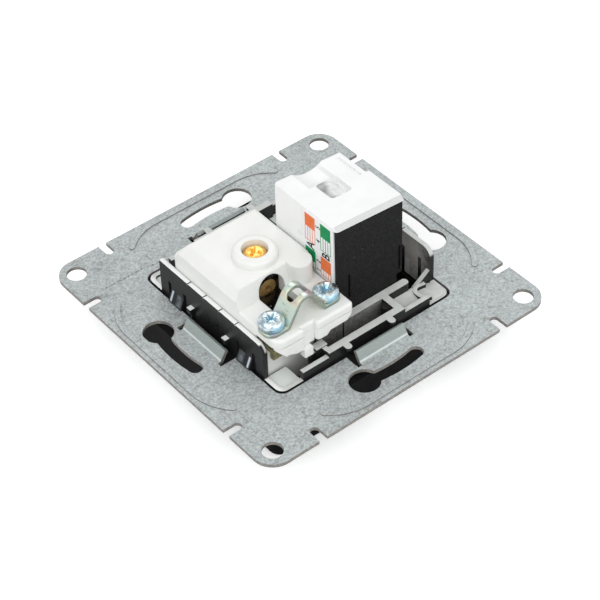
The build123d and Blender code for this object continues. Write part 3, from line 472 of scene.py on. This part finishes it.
# %% [markdown]
# ## White plastic
#
# The aerial housing is a satin white, a little warm, with softly rounded edges and a faint flow mottle in
# the gloss. The cap of the jack is a cooler, slightly duller white with a few moulded marks: a thin line
# and a small square on its left side. They are too shallow to model, so a bump draws them, and painted
# shade darkens them a little. Its sloping front edge, the side of the channel in its top and the left of its
# window get painted shade.

# %% Aerial housing
white, tree = finish("white_plastic", IOR=1.5)
flow = blend(clouds(tree, 5.0), srgb(235, 236, 233), srgb(240, 241, 238))
dust = specks(tree, 2.6, 0.14, 0.12)
feed(white, Base_Color=blend(dust * 0.5, flow, srgb(120, 116, 108)),
     Roughness=0.3 + 0.1 * noise(tree, 1.5, 3.0),
     Normal=bump(noise(tree, 0.7, 3.0), 0.006, soft_edges(tree, 0.3)))
wear(white, "tv_base", "tv_cover")

# %% Jack cap and wiring block
CAP_LEFT = -1.9
cap_white, tree = finish("cap_white", IOR=1.5)
x, y, z = (along(tree, axis) for axis in range(3))
left_side = x < CAP_LEFT + 0.05
line = band(y, -4.6, -4.4) * band(z, 18.6, 34.0)
square = band(y, -4.5, -3.2) * band(z, 26.7, 27.5) - band(y, -4.3, -3.4) * band(z, 26.9, 27.3)
mark = left_side * (line * 0.5 + square)
flow = blend(clouds(tree, 4.0), srgb(242, 243, 243), srgb(247, 248, 248))
# Painted shade on the sloping front edge, along the side of the channel in the top and on the left of the
# window.
slope_shade = ramp(0 - facing(tree, 1), 0.4, 0.6) * ramp(facing(tree, 2), 0.4, 0.6)
channel_edge_shade = band(x, 8.2, 9.0, 0.15) * band(y, -2.0, 3.0, 0.8) * ramp(facing(tree, 2), 0.5, 0.7)
in_window = band(x, 3.0, 5.8, 0.6) * band(y, -7.0, -1.9, 0.2) * band(z, 30.0, 34.3)
window_shade = in_window * (0.60 + 0.35 * ramp(y, -5.5, -2.5))
shaded = mark.maths("MAXIMUM", mark * 0.25, slope_shade * 0.5 + channel_edge_shade * 0.25 + window_shade)
feed(cap_white, Base_Color=blend(shaded, flow, srgb(170, 172, 172)),
     Roughness=0.38 + 0.1 * noise(tree, 1.1, 3.0),
     Normal=bump(noise(tree, 0.5, 3.0) * 0.1 - mark, 0.05, soft_edges(tree, 0.15)))
wear(cap_white, "jack_cap", "jack_wiring_block", "coax_insulator")

# %% [markdown]
# ## The jack's black
#
# The jack's face has a fine spark-eroded texture, so it mirrors nothing sharply and stays a deep black. A
# few pale dust grains sit on it. The holder behind the cable mouth is smooth and glossy instead, with more
# pale specks.

# %% Jack face and holder
jack_black, tree = finish("dark_plastic", IOR=1.3, Specular_IOR_Level=0.15)
texture = noise(tree, 0.3, 2.0)
pale_specks = specks(tree, 0.9, 0.16, 0.16) * 0.35
for single_grain in ((2.9, -15.0, 29.3), (11.5, -15.0, 29.0)):
    pale_specks = pale_specks.maths("MAXIMUM", pale_specks, spot(tree, single_grain, 0.16, 0.08))
deep = blend(clouds(tree, 0.35, 2.0), srgb(24, 24, 24), srgb(40, 40, 40))
feed(jack_black, Base_Color=blend(pale_specks * 0.8, deep, srgb(190, 190, 186)),
     Roughness=0.42 + 0.14 * clouds(tree, 1.2, 3.0),
     Normal=bump(texture, 0.018, soft_edges(tree, 0.1)))
wear(jack_black, "jack_body", "jack_contact_carrier")

holder_black, tree = finish("holder_black", IOR=1.5)
pale_specks = specks(tree, 0.7, 0.22, 0.3)
deep = blend(clouds(tree, 0.8), srgb(14, 12, 11), srgb(28, 25, 23))
feed(holder_black, Base_Color=blend(pale_specks * 0.7, deep, srgb(200, 198, 194)),
     Roughness=0.12 + 0.1 * clouds(tree, 0.5), Normal=bump(noise(tree, 0.9), 0.05, soft_edges(tree, 0.3)))
wear(holder_black, "terminal_holder")

# %% [markdown]
# ## Metals
#
# The terminal and its screw are bare turned brass, the block duller than the screw. The strap carries a thin
# zinc film that turns the reflections yellow, green and pink from place to place. A film's colour follows
# its thickness, so a slow noise picks the tint. The clamp screws have a brighter, bluer zinc, bluest deep in
# the cross. The nut plate has a thick yellow coat, the aerial sleeve is nickel plated, and the contacts are
# flashed with gold.


# %% Metals
def metal(name, dark, light, roughness, scale, depth=0.006, metallic=1.0):
    """Bright metal: two tones in clouds, fine scuffs in the gloss and softened edges."""
    made, tree = finish(name, Metallic=metallic)
    tone, scuff = clouds(tree, scale), clouds(tree, 0.25)
    return feed(made, Base_Color=blend(tone, dark, light), Roughness=roughness + 0.14 * scuff,
                Normal=bump(noise(tree, 0.3, 2.0), depth, soft_edges(tree, 0.12)))


screw_brass = metal("screw_brass", srgb(238, 186, 96), srgb(252, 214, 132), 0.2, 0.9, 0.01)
turned_brass = metal("brass", srgb(196, 156, 96), srgb(226, 190, 124), 0.42, 0.7, 0.02, metallic=0.5)
nickel = metal("nickel_brass", srgb(176, 172, 160), srgb(206, 203, 194), 0.18, 2.0)
gold_flash = metal("contact_metal", srgb(196, 164, 92), srgb(226, 196, 126), 0.2, 1.0)
wear(screw_brass, "terminal_screw")
wear(turned_brass, "terminal_block", "coax_centre_contact")
wear(nickel, "coax_shell")
contacts = [name for name in nodes if name.startswith(("jack_contact_wire", "jack_wiring_blade"))]
wear(gold_flash, *contacts)

# %% Zinc films
zinc, tree = finish("zinc_plate", Metallic=1.0)
film = noise(tree, 3.0, 1.0, (1.0, 0.7, 1.0))
tints = [(0.32, srgb(196, 184, 192)), (0.42, srgb(190, 202, 200)), (0.50, srgb(194, 208, 196)),
         (0.58, srgb(204, 208, 186)), (0.68, srgb(206, 192, 186))]
colour = film.node("ShaderNodeValToRGB", {"stops": tints}, {"Fac": film})
scratches = ramp(noise(tree, 0.5, 2.0, (1.0, 0.25, 1.0)), 0.60, 0.70) * 0.4
cut_edge = ramp(abs(facing(tree, 1)), 0.6, 0.8) * 0.6
dull = scratches.maths("MAXIMUM", scratches, cut_edge)
feed(zinc, Base_Color=blend(dull, colour, srgb(112, 122, 110)), Roughness=0.3 + 0.14 * clouds(tree, 0.6, 3.0),
     Normal=bump(noise(tree, 1.2, 2.0), 0.02, soft_edges(tree, 0.12)))
wear(zinc, "clamp_strap")

FIRST_SCREW, HALF_PITCH = -18.4, 6.55
CROSS_RADIUS, CROSS_TOP = (1.3, 1.7), (22.2, 22.6)
blue_zinc, tree = finish("blue_zinc", Metallic=1.0)
film = noise(tree, 1.1, 2.0)
tints = [(0.38, srgb(152, 172, 182)), (0.46, srgb(192, 208, 214)), (0.55, srgb(222, 228, 228)),
         (0.62, srgb(182, 190, 190))]
colour = film.node("ShaderNodeValToRGB", {"stops": tints}, {"Fac": film})
low = 1 - ramp(along(tree, 2), *CROSS_TOP)
x = along(tree, 0)
inner = 1 - ramp(x.maths("PINGPONG", x - FIRST_SCREW, HALF_PITCH), *CROSS_RADIUS)
feed(blue_zinc, Base_Color=blend(low * inner * 0.6, colour, srgb(128, 190, 218)),
     Roughness=0.22 + 0.12 * clouds(tree, 0.5, 2.0),
     Normal=bump(noise(tree, 1.2, 1.0), 0.05))
wear(blue_zinc, "clamp_screws")

yellow_zinc, tree = finish("yellow_zinc", Metallic=0.8)
coat = blend(clouds(tree, 1.0, 3.0), srgb(122, 114, 78), srgb(178, 170, 130))
layers = ramp(noise(tree, 0.4, 3.0, (0.3, 0.3, 3.0)), 0.42, 0.58)
feed(yellow_zinc, Base_Color=blend(layers * 0.5, coat, srgb(96, 92, 66)),
     Roughness=0.34 + 0.16 * clouds(tree, 0.5, 3.0), Normal=bump(layers, 0.03))
wear(yellow_zinc, "clamp_nut_plate")

# %% [markdown]
# ## Board and label
#
# The board lies closed up in the jack and shows only through the gaps: green solder resist over glass
# weave. The label is a white film, a little glossier than the cap it sticks to.

# %% Board and label
board, tree = finish("board", IOR=1.5)
x, y = along(tree, 0), along(tree, 1)
weave = x.maths("SINE", x * 12.0) * y.maths("SINE", y * 12.0)
feed(board, Base_Color=blend(clouds(tree, 2.0), srgb(20, 92, 52), srgb(30, 112, 64)),
     Roughness=0.3 + 0.1 * noise(tree, 0.8), Normal=bump(weave, 0.01))
wear(board, "jack_circuit_board")

label_film, tree = finish("label", IOR=1.45)
feed(label_film, Base_Color=blend(clouds(tree, 1.5), srgb(238, 239, 240), srgb(244, 245, 246)),
     Roughness=0.3 + 0.1 * noise(tree, 0.6, 3.0), Normal=bump(noise(tree, 1.2, 2.0), 0.01))
wear(label_film, "wiring_label")
bare = [name for name in nodes if not nodes[name].data.materials]
print("solids without a finish:", bare)

# %% [markdown]
# ## The print on the label
#
# The label tells which wire goes where: a full block for a plain wire and a striped block for its striped
# partner, in two columns with the letters A and B and the numbers of the blades. The print could be
# painted by a shader, but thin films of ink with real edges stay sharp from close by. A striped block is a
# row of equal bars, so Geometry Nodes make it: one tree, with inputs for the bars' number, step and size.


# %% A row of bars
def row_of_bars():
    """A node tree that sets equal bars in a row along Y and moves them to a corner."""
    tree = bpy.data.node_groups.new("row_of_bars", "GeometryNodeTree")
    inputs = [("Count", "NodeSocketInt"), ("Step", "NodeSocketFloat"), ("Bar", "NodeSocketVector"),
              ("Corner", "NodeSocketVector"), ("Ink", "NodeSocketMaterial")]
    for name, kind in inputs:
        tree.interface.new_socket(name, in_out="INPUT", socket_type=kind)
    tree.interface.new_socket("Bars", in_out="OUTPUT", socket_type="NodeSocketGeometry")
    given = tree.nodes.new("NodeGroupInput")
    count, step, bar, corner, ink = (Field(tree, given.outputs[name]) for name, _ in inputs)
    offset = step.node("ShaderNodeCombineXYZ", None, {"Y": step})
    row = count.node("GeometryNodeMeshLine", {"mode": "OFFSET"}, {"Count": count, "Offset": offset})
    cube = bar.node("GeometryNodeMeshCube", None, {"Size": bar})
    bars = row.node("GeometryNodeInstanceOnPoints", None, {"Points": row, "Instance": cube})
    moved = bars.node("GeometryNodeTransform", None, {"Geometry": bars, "Translation": corner})
    whole = moved.node("GeometryNodeRealizeInstances", None, {"Geometry": moved})
    inked = whole.node("GeometryNodeSetMaterial", None, {"Geometry": whole, "Material": ink})
    end = tree.nodes.new("NodeGroupOutput")
    tree.links.new(inked.socket, end.inputs["Bars"])
    return tree


def bake(tree, **values):
    """Runs a tree with its inputs set and returns the result as a plain mesh."""
    holder = bpy.data.objects.new("bake", bpy.data.meshes.new("bake"))
    bpy.context.collection.objects.link(holder)
    modifier = holder.modifiers.new("nodes", "NODES")
    modifier.node_group = tree
    for item in tree.interface.items_tree:
        if item.name in values:
            modifier[item.identifier] = values[item.name]
    graph = bpy.context.evaluated_depsgraph_get()
    mesh = bpy.data.meshes.new_from_object(holder.evaluated_get(graph))
    bpy.data.objects.remove(holder)
    return mesh


def piece(name, meshes, material):
    """One object out of some meshes, in one finish, riding on the body."""
    joined = bmesh.new()
    for mesh in meshes:
        joined.from_mesh(mesh)
    for face in joined.faces:
        face.material_index = 0
    whole = bpy.data.meshes.new(name)
    joined.to_mesh(whole)
    joined.free()
    whole.materials.append(material)
    made = bpy.data.objects.new(name, whole)
    bpy.context.collection.objects.link(made)
    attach(made, "root")
    print(name, len(whole.polygons), "faces")
    return made


# %% [markdown]
# Each block lies between two heights of one column. The ink is 0.02 mm thick and sinks as far into the
# film. A solid block is a row of one wide bar, and a striped block is a row of thin ones with a frame.

# %% Inks and blocks
LABEL_FACE = -2.05
INK = 0.02
LINE = 0.14


def printing_ink(name, dark, light, size=0.6):
    """A thin film of ink, a little uneven in tone and gloss."""
    made, tree = finish(name, IOR=1.4, Specular_IOR_Level=0.2)
    return feed(made, Base_Color=blend(clouds(tree, size), dark, light),
                Roughness=0.35 + 0.1 * noise(tree, 0.5))


orange = printing_ink("orange_ink", srgb(232, 112, 56), srgb(240, 128, 72))
green = printing_ink("green_ink", srgb(0, 134, 76), srgb(0, 152, 90))
black_ink = printing_ink("black_ink", srgb(24, 24, 26), srgb(40, 40, 42), 0.4)
bar_tree = row_of_bars()


def bar_row(ink, count, first, step, width, low, high):
    """Bars from y = first on, between two heights above the plate."""
    size = (2 * INK * MM, width * MM, (high - low) * MM)
    corner = (LABEL_FACE * MM, first * MM, (PLATE_TOP + (low + high) / 2) * MM)
    return bake(bar_tree, Count=count, Step=step * MM, Bar=size, Corner=corner, Ink=ink)


def blocks(ink, front, back, solid, striped):
    """A solid block above a striped one, across a column from front to back."""
    middle, width = (front + back) / 2, back - front
    rows = [bar_row(ink, 1, middle, 0, width, *solid)]
    rows.append(bar_row(ink, 5, front + LINE / 2, (width - LINE) / 4, LINE, *striped))
    rows.append(bar_row(ink, 1, middle, 0, width, striped[0], striped[0] + LINE))
    return rows


column_a, column_b = (-8.6, -5.6), (-13.2, -10.2)
orange_print = blocks(orange, *column_a, (21.0, 24.1), (17.5, 21.0))
orange_print += blocks(orange, *column_b, (12.7, 15.9), (11.2, 12.7))
green_print = blocks(green, *column_b, (20.9, 24.1), (17.5, 20.9))
green_print += blocks(green, *column_a, (12.9, 15.8), (11.2, 12.9))
piece("label_orange", orange_print, orange)
piece("label_green", green_print, green)


# %% [markdown]
# The letters and numbers stand on their side and read upwards. Text is a curve in Blender, so each is made
# a mesh first and then set on the label: its reading direction along Z, its top towards Y. A capital takes
# up 0.7 of the font's size, and every mark is narrowed a little and drawn bolder.


# %% Letters and numbers
CAPITAL = 0.7
NARROW, BOLD = 0.78, 0.026
LETTER, DIGIT = 2.2, 1.2


def glyph(text, height, y, z):
    """A letter or number on the label, centred at y and a height above the plate."""
    curve = bpy.data.curves.new("glyph", "FONT")
    curve.body, curve.size = text, height / CAPITAL * MM
    curve.align_x = "CENTER"
    curve.extrude, curve.offset = INK * MM, BOLD * height * MM
    holder = bpy.data.objects.new("glyph", curve)
    bpy.context.collection.objects.link(holder)
    mesh = bpy.data.meshes.new_from_object(holder)
    bpy.data.objects.remove(holder)
    upright = Matrix(((0, 0, -1), (0, 1, 0), (NARROW, 0, 0))).to_4x4()
    corner = Vector((LABEL_FACE, y - height / 2, PLATE_TOP + z)) * MM
    mesh.transform(Matrix.Translation(corner) @ upright)
    return mesh


marks = [("A", LETTER, -7.1, 16.7), ("B", LETTER, -11.7, 16.7)]
marks += [(number, DIGIT, -9.45, z) for number, z in zip("5421", (22.6, 19.2, 14.1, 11.9))]
piece("label_letters", [glyph(*mark) for mark in marks], black_ink)

# %% [markdown]
# ## Screws
#
# The CAD screws are plain pans with a straight cross. The real heads are low domes with a conical driver
# recess and four fine ticks between its arms, and these catch the light. A head is turned like on a lathe:
# a profile of radius and height goes round the axis. Boolean modifiers then cut the arms and ticks. The
# rim's height is a share of the head's, and the dome and its flat top are shares of the head's radius.


# %% Lathe, cutters and carving
def lathe(profile, steps=56):
    """A turned solid from (radius, height) points in millimetres, from the bottom centre to the top one."""
    made = bmesh.new()
    rings = []
    for radius, height in profile:
        if radius:
            turns = [2 * math.pi * step / steps for step in range(steps)]
            ring = [(radius * math.cos(a), radius * math.sin(a), height) for a in turns]
            rings.append([made.verts.new(point) for point in ring])
        else:
            rings.append([made.verts.new((0, 0, height))] * steps)
    for low, high in zip(rings, rings[1:]):
        for step in range(steps):
            after = (step + 1) % steps
            made.faces.new(dict.fromkeys((low[step], low[after], high[after], high[step])))
    return made


def wedge(length, width, top, bottom, taper, turn):
    """A bar along one diameter whose sides close in towards its bottom, turned by some degrees."""
    made = bmesh.new()
    bmesh.ops.create_cube(made, size=1.0)
    for vert in made.verts:
        share, level = (1.0, top) if vert.co.z > 0 else (taper, bottom)
        vert.co = Vector((vert.co.x * length * share, vert.co.y * width * share, level))
    made.transform(Matrix.Rotation(math.radians(turn), 4, "Z"))
    return made


def prism(outline, low, high, plane="XY"):
    """A closed outline made solid between two levels, in the plan (XY) or seen from the front (XZ)."""
    made = bmesh.new()
    plan = plane == "XY"
    corners = [(u, v, low) if plan else (u, low, v) for u, v in outline]
    face = made.faces.new([made.verts.new(corner) for corner in corners])
    pushed = bmesh.ops.extrude_face_region(made, geom=[face])["geom"]
    way = Vector((0, 0, high - low) if plan else (0, high - low, 0))
    ends = [item for item in pushed if isinstance(item, bmesh.types.BMVert)]
    bmesh.ops.translate(made, vec=way, verts=ends)
    return made


def solid(shape):
    """A bmesh in millimetres as an object in metres, with its faces turned outwards."""
    bmesh.ops.recalc_face_normals(shape, faces=shape.faces)
    shape.transform(Matrix.Scale(MM, 4))
    mesh = bpy.data.meshes.new("solid")
    shape.to_mesh(mesh)
    shape.free()
    made = bpy.data.objects.new("solid", mesh)
    bpy.context.collection.objects.link(made)
    return made


def carve(shape, cutters=(), keep=(), edge=0.05):
    """The shape with cutters taken away, only what lies in all of keep, and its edges broken."""
    body = solid(shape)
    tools = [(solid(tool), "DIFFERENCE") for tool in cutters]
    tools += [(solid(tool), "INTERSECT") for tool in keep]
    for tool, operation in tools:
        modifier = body.modifiers.new("cut", "BOOLEAN")
        modifier.operation, modifier.object, modifier.solver = operation, tool, "EXACT"
    bevel = body.modifiers.new("edge", "BEVEL")
    bevel.width, bevel.segments, bevel.limit_method = edge * MM, 2, "ANGLE"
    bevel.angle_limit = math.radians(40)
    graph = bpy.context.evaluated_depsgraph_get()
    mesh = bpy.data.meshes.new_from_object(body.evaluated_get(graph))
    for made in [body] + [tool for tool, _ in tools]:
        bpy.data.objects.remove(made)
    mesh.shade_smooth()
    mesh.set_sharp_from_angle(angle=math.radians(38))
    return mesh


# %% Clamp screws and terminal screw
RIM_HEIGHT = 0.42
DOME_START, DOME_RUN, FLAT_TOP = 0.42, 0.58, 0.36


def screw(x, y, under_head, radius, height, shank, tip, turn, arm=0.36, ticks=(45, 135)):
    """A low pan head with a cross recess and ticks, and a plain shank down to its tip."""
    rim, dome = height * RIM_HEIGHT, height
    profile = [(0, tip - under_head), (shank, tip - under_head), (shank, 0), (radius - 0.1, 0),
               (radius, 0.1), (radius, rim)]
    for step in range(1, 9):
        angle = math.radians(90 * step / 9)
        out = radius * (DOME_START + DOME_RUN * math.cos(angle))
        profile.append((out, rim + (dome - rim) * math.sin(angle)))
    profile += [(radius * FLAT_TOP, dome), (0, dome)]
    above = dome + 0.01
    cutters = [wedge(radius * 1.3, radius * arm, above, dome - 1.0, 0.45, turn + side) for side in (0, 90)]
    cutters += [wedge(radius, radius * 0.10, above, dome - 0.35, 0.7, turn + side) for side in ticks]
    mesh = carve(lathe(profile), cutters)
    mesh.transform(Matrix.Translation(Vector((x, y, under_head)) * MM))
    return mesh


clamp_pair = [screw(-18.3, -15.25, 21.15, 2.6, 1.9, 1.4, 16.7, 12),
              screw(-5.3, -15.45, 21.1, 2.6, 1.7, 1.45, 16.7, 38)]
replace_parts(piece("clamp_screw_pair", clamp_pair, blue_zinc), "clamp_screws")
terminal = screw(-11.05, -1.3, 24.2, 2.45, 1.7, 1.25, 19.25, 28, 0.42, ())
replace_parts(piece("terminal_screw_head", [terminal], screw_brass), "terminal_screw")

# %% [markdown]
# ## Strap
#
# The strap is pressed from one strip: two feet under the screws and an arch over the cable, with a slot
# punched from the crown down its right leg. Its side view, a band of even thickness with soft bends, is
# made solid across the width, and then only what lies inside the strip's plan, with its round ends, is kept.


# %% Bent strip
def bend(corners, radii, steps=10):
    """A line through corners with each inner corner rounded, as points."""
    points = [Vector(corners[0])]
    for before, corner, after, radius in zip(corners, corners[1:], corners[2:], radii):
        corner = Vector(corner)
        back_way, on_way = (Vector(before) - corner).normalized(), (Vector(after) - corner).normalized()
        half = back_way.angle(on_way) / 2
        start, end = (corner + way * radius / math.tan(half) for way in (back_way, on_way))
        centre = corner + (back_way + on_way).normalized() * radius / math.sin(half)
        first, last = start - centre, end - centre
        turned = first.angle(last)
        for step in range(steps + 1):
            share = turned * step / steps
            mix = (first * math.sin(turned - share) + last * math.sin(share)) / math.sin(turned)
            points.append(centre + mix)
    return points + [Vector(corners[-1])]


def thicken(line, thickness):
    """The closed outline of a band whose lower edge is a line."""
    upper = []
    for number, point in enumerate(line):
        run = line[min(number + 1, len(line) - 1)] - line[max(number - 1, 0)]
        upper.append(point + Vector((-run.y, run.x)).normalized() * thickness)
    return [tuple(point) for point in line + upper[::-1]]


def rounded(left, right, front, back, radius, steps=8):
    """A rectangle with round corners, as points."""
    points = []
    centres = [(right - radius, back - radius), (left + radius, back - radius),
               (left + radius, front + radius), (right - radius, front + radius)]
    for quarter, (x, y) in enumerate(centres):
        for step in range(steps + 1):
            angle = math.radians(90 * (quarter + step / steps))
            points.append((x + radius * math.cos(angle), y + radius * math.sin(angle)))
    return points


under = [(-21.2, 20.3), (-16.1, 20.3), (-12.95, 25.75), (-10.85, 25.75), (-7.7, 20.3), (-2.5, 20.3)]
side_view = thicken(bend(under, (1.0, 1.8, 1.8, 1.0)), 0.75)
strap = carve(prism(side_view, -18.4, -12.7, "XZ"),
              [prism(rounded(-14.3, -10.4, -16.75, -14.4, 0.95), 22.6, 27.0)],
              [prism(rounded(-20.9, -2.8, -18.0, -13.05, 2.0), 20.0, 27.0)], edge=0.1)
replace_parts(piece("strap_bent", [strap], zinc), "clamp_strap")

# %% [markdown]
# ## The crest in the cap's window
#
# Through the window in the cap one sees a white crest of the wiring block. It falls away to the right, first
# at the height of the cap's top and then a step lower. The crest is one arc made solid twice. A pad closes
# the window below it, and a lining behind the window's edges hides the hollow under the cap.


# %% Crest
WINDOW_LEFT, WINDOW_RIGHT = 3.72, 8.62
CREST_RADIUS, CREST_PEAK, CREST_FOOT = 4.8, 0.78, 31.0


def crest(top, front, back):
    """A block whose top is an arc that falls to the right."""
    centre = top - CREST_RADIUS
    runs = [0.35 * step for step in range(15)]
    arc = [(WINDOW_LEFT + run, centre + math.sqrt(CREST_RADIUS ** 2 - (run - CREST_PEAK) ** 2))
           for run in runs]
    foot = [(WINDOW_RIGHT, CREST_FOOT), (WINDOW_LEFT, CREST_FOOT)]
    return carve(prism(arc + foot, front, back, "XZ"), edge=0.06)


floor_pad = carve(prism(rounded(WINDOW_LEFT, 8.68, -6.78, -2.02, 0.6), 30.6, 31.9))
liner = carve(prism(rounded(3.1, 9.3, -7.4, -1.4, 0.3), 30.4, 32.7),
              [prism(rounded(3.7, 8.65, -6.8, -2.0, 0.6), 30.0, 33.0)], edge=0.03)
crests = [floor_pad, liner, crest(34.25, -3.0, -2.05), crest(33.0, -5.2, -2.9)]
piece("window_crest", crests, cap_white)

# %% [markdown]
# ## The rim round the right corner's bowl
#
# The rib that comes down from the right wall does not stop at the shelf: it turns round the corner pad and
# makes a shallow bowl of it. The turn is a curved bar laid on the pad, and the bowl's floor is a second,
# lower pad inside it.

# %% Corner rim
rim_line = bend([(19.0, -16.3), (15.2, -15.7), (15.2, -20.0), (17.3, -20.8)], (1.9, 1.9))
rim = carve(prism(thicken(rim_line, 1.0), 8.8, 10.5), edge=0.12)
bowl = carve(prism(rounded(15.9, 21.0, -21.1, -16.4, 1.6), 8.6, 9.6), edge=0.12)
piece("corner_rim", [rim, bowl], black)

# %% [markdown]
# ## The frame's guide under the clamp
#
# Below the clamp's platform a black stop and a thin black wall stand before the aerial housing. They belong
# to the frame. The wall runs up to the ledge before the jack and carries on the channel's grey face.

# %% Guide and wall
stop = carve(prism(rounded(-11.0, -8.2, -19.4, -17.5, 0.2), 8.8, 12.7), edge=0.1)
low_wall = carve(prism(rounded(-8.5, -1.6, -16.1, -15.55, 0.1), 4.0, 13.5), edge=0.1)
piece("frame_guide", [stop, low_wall], black)
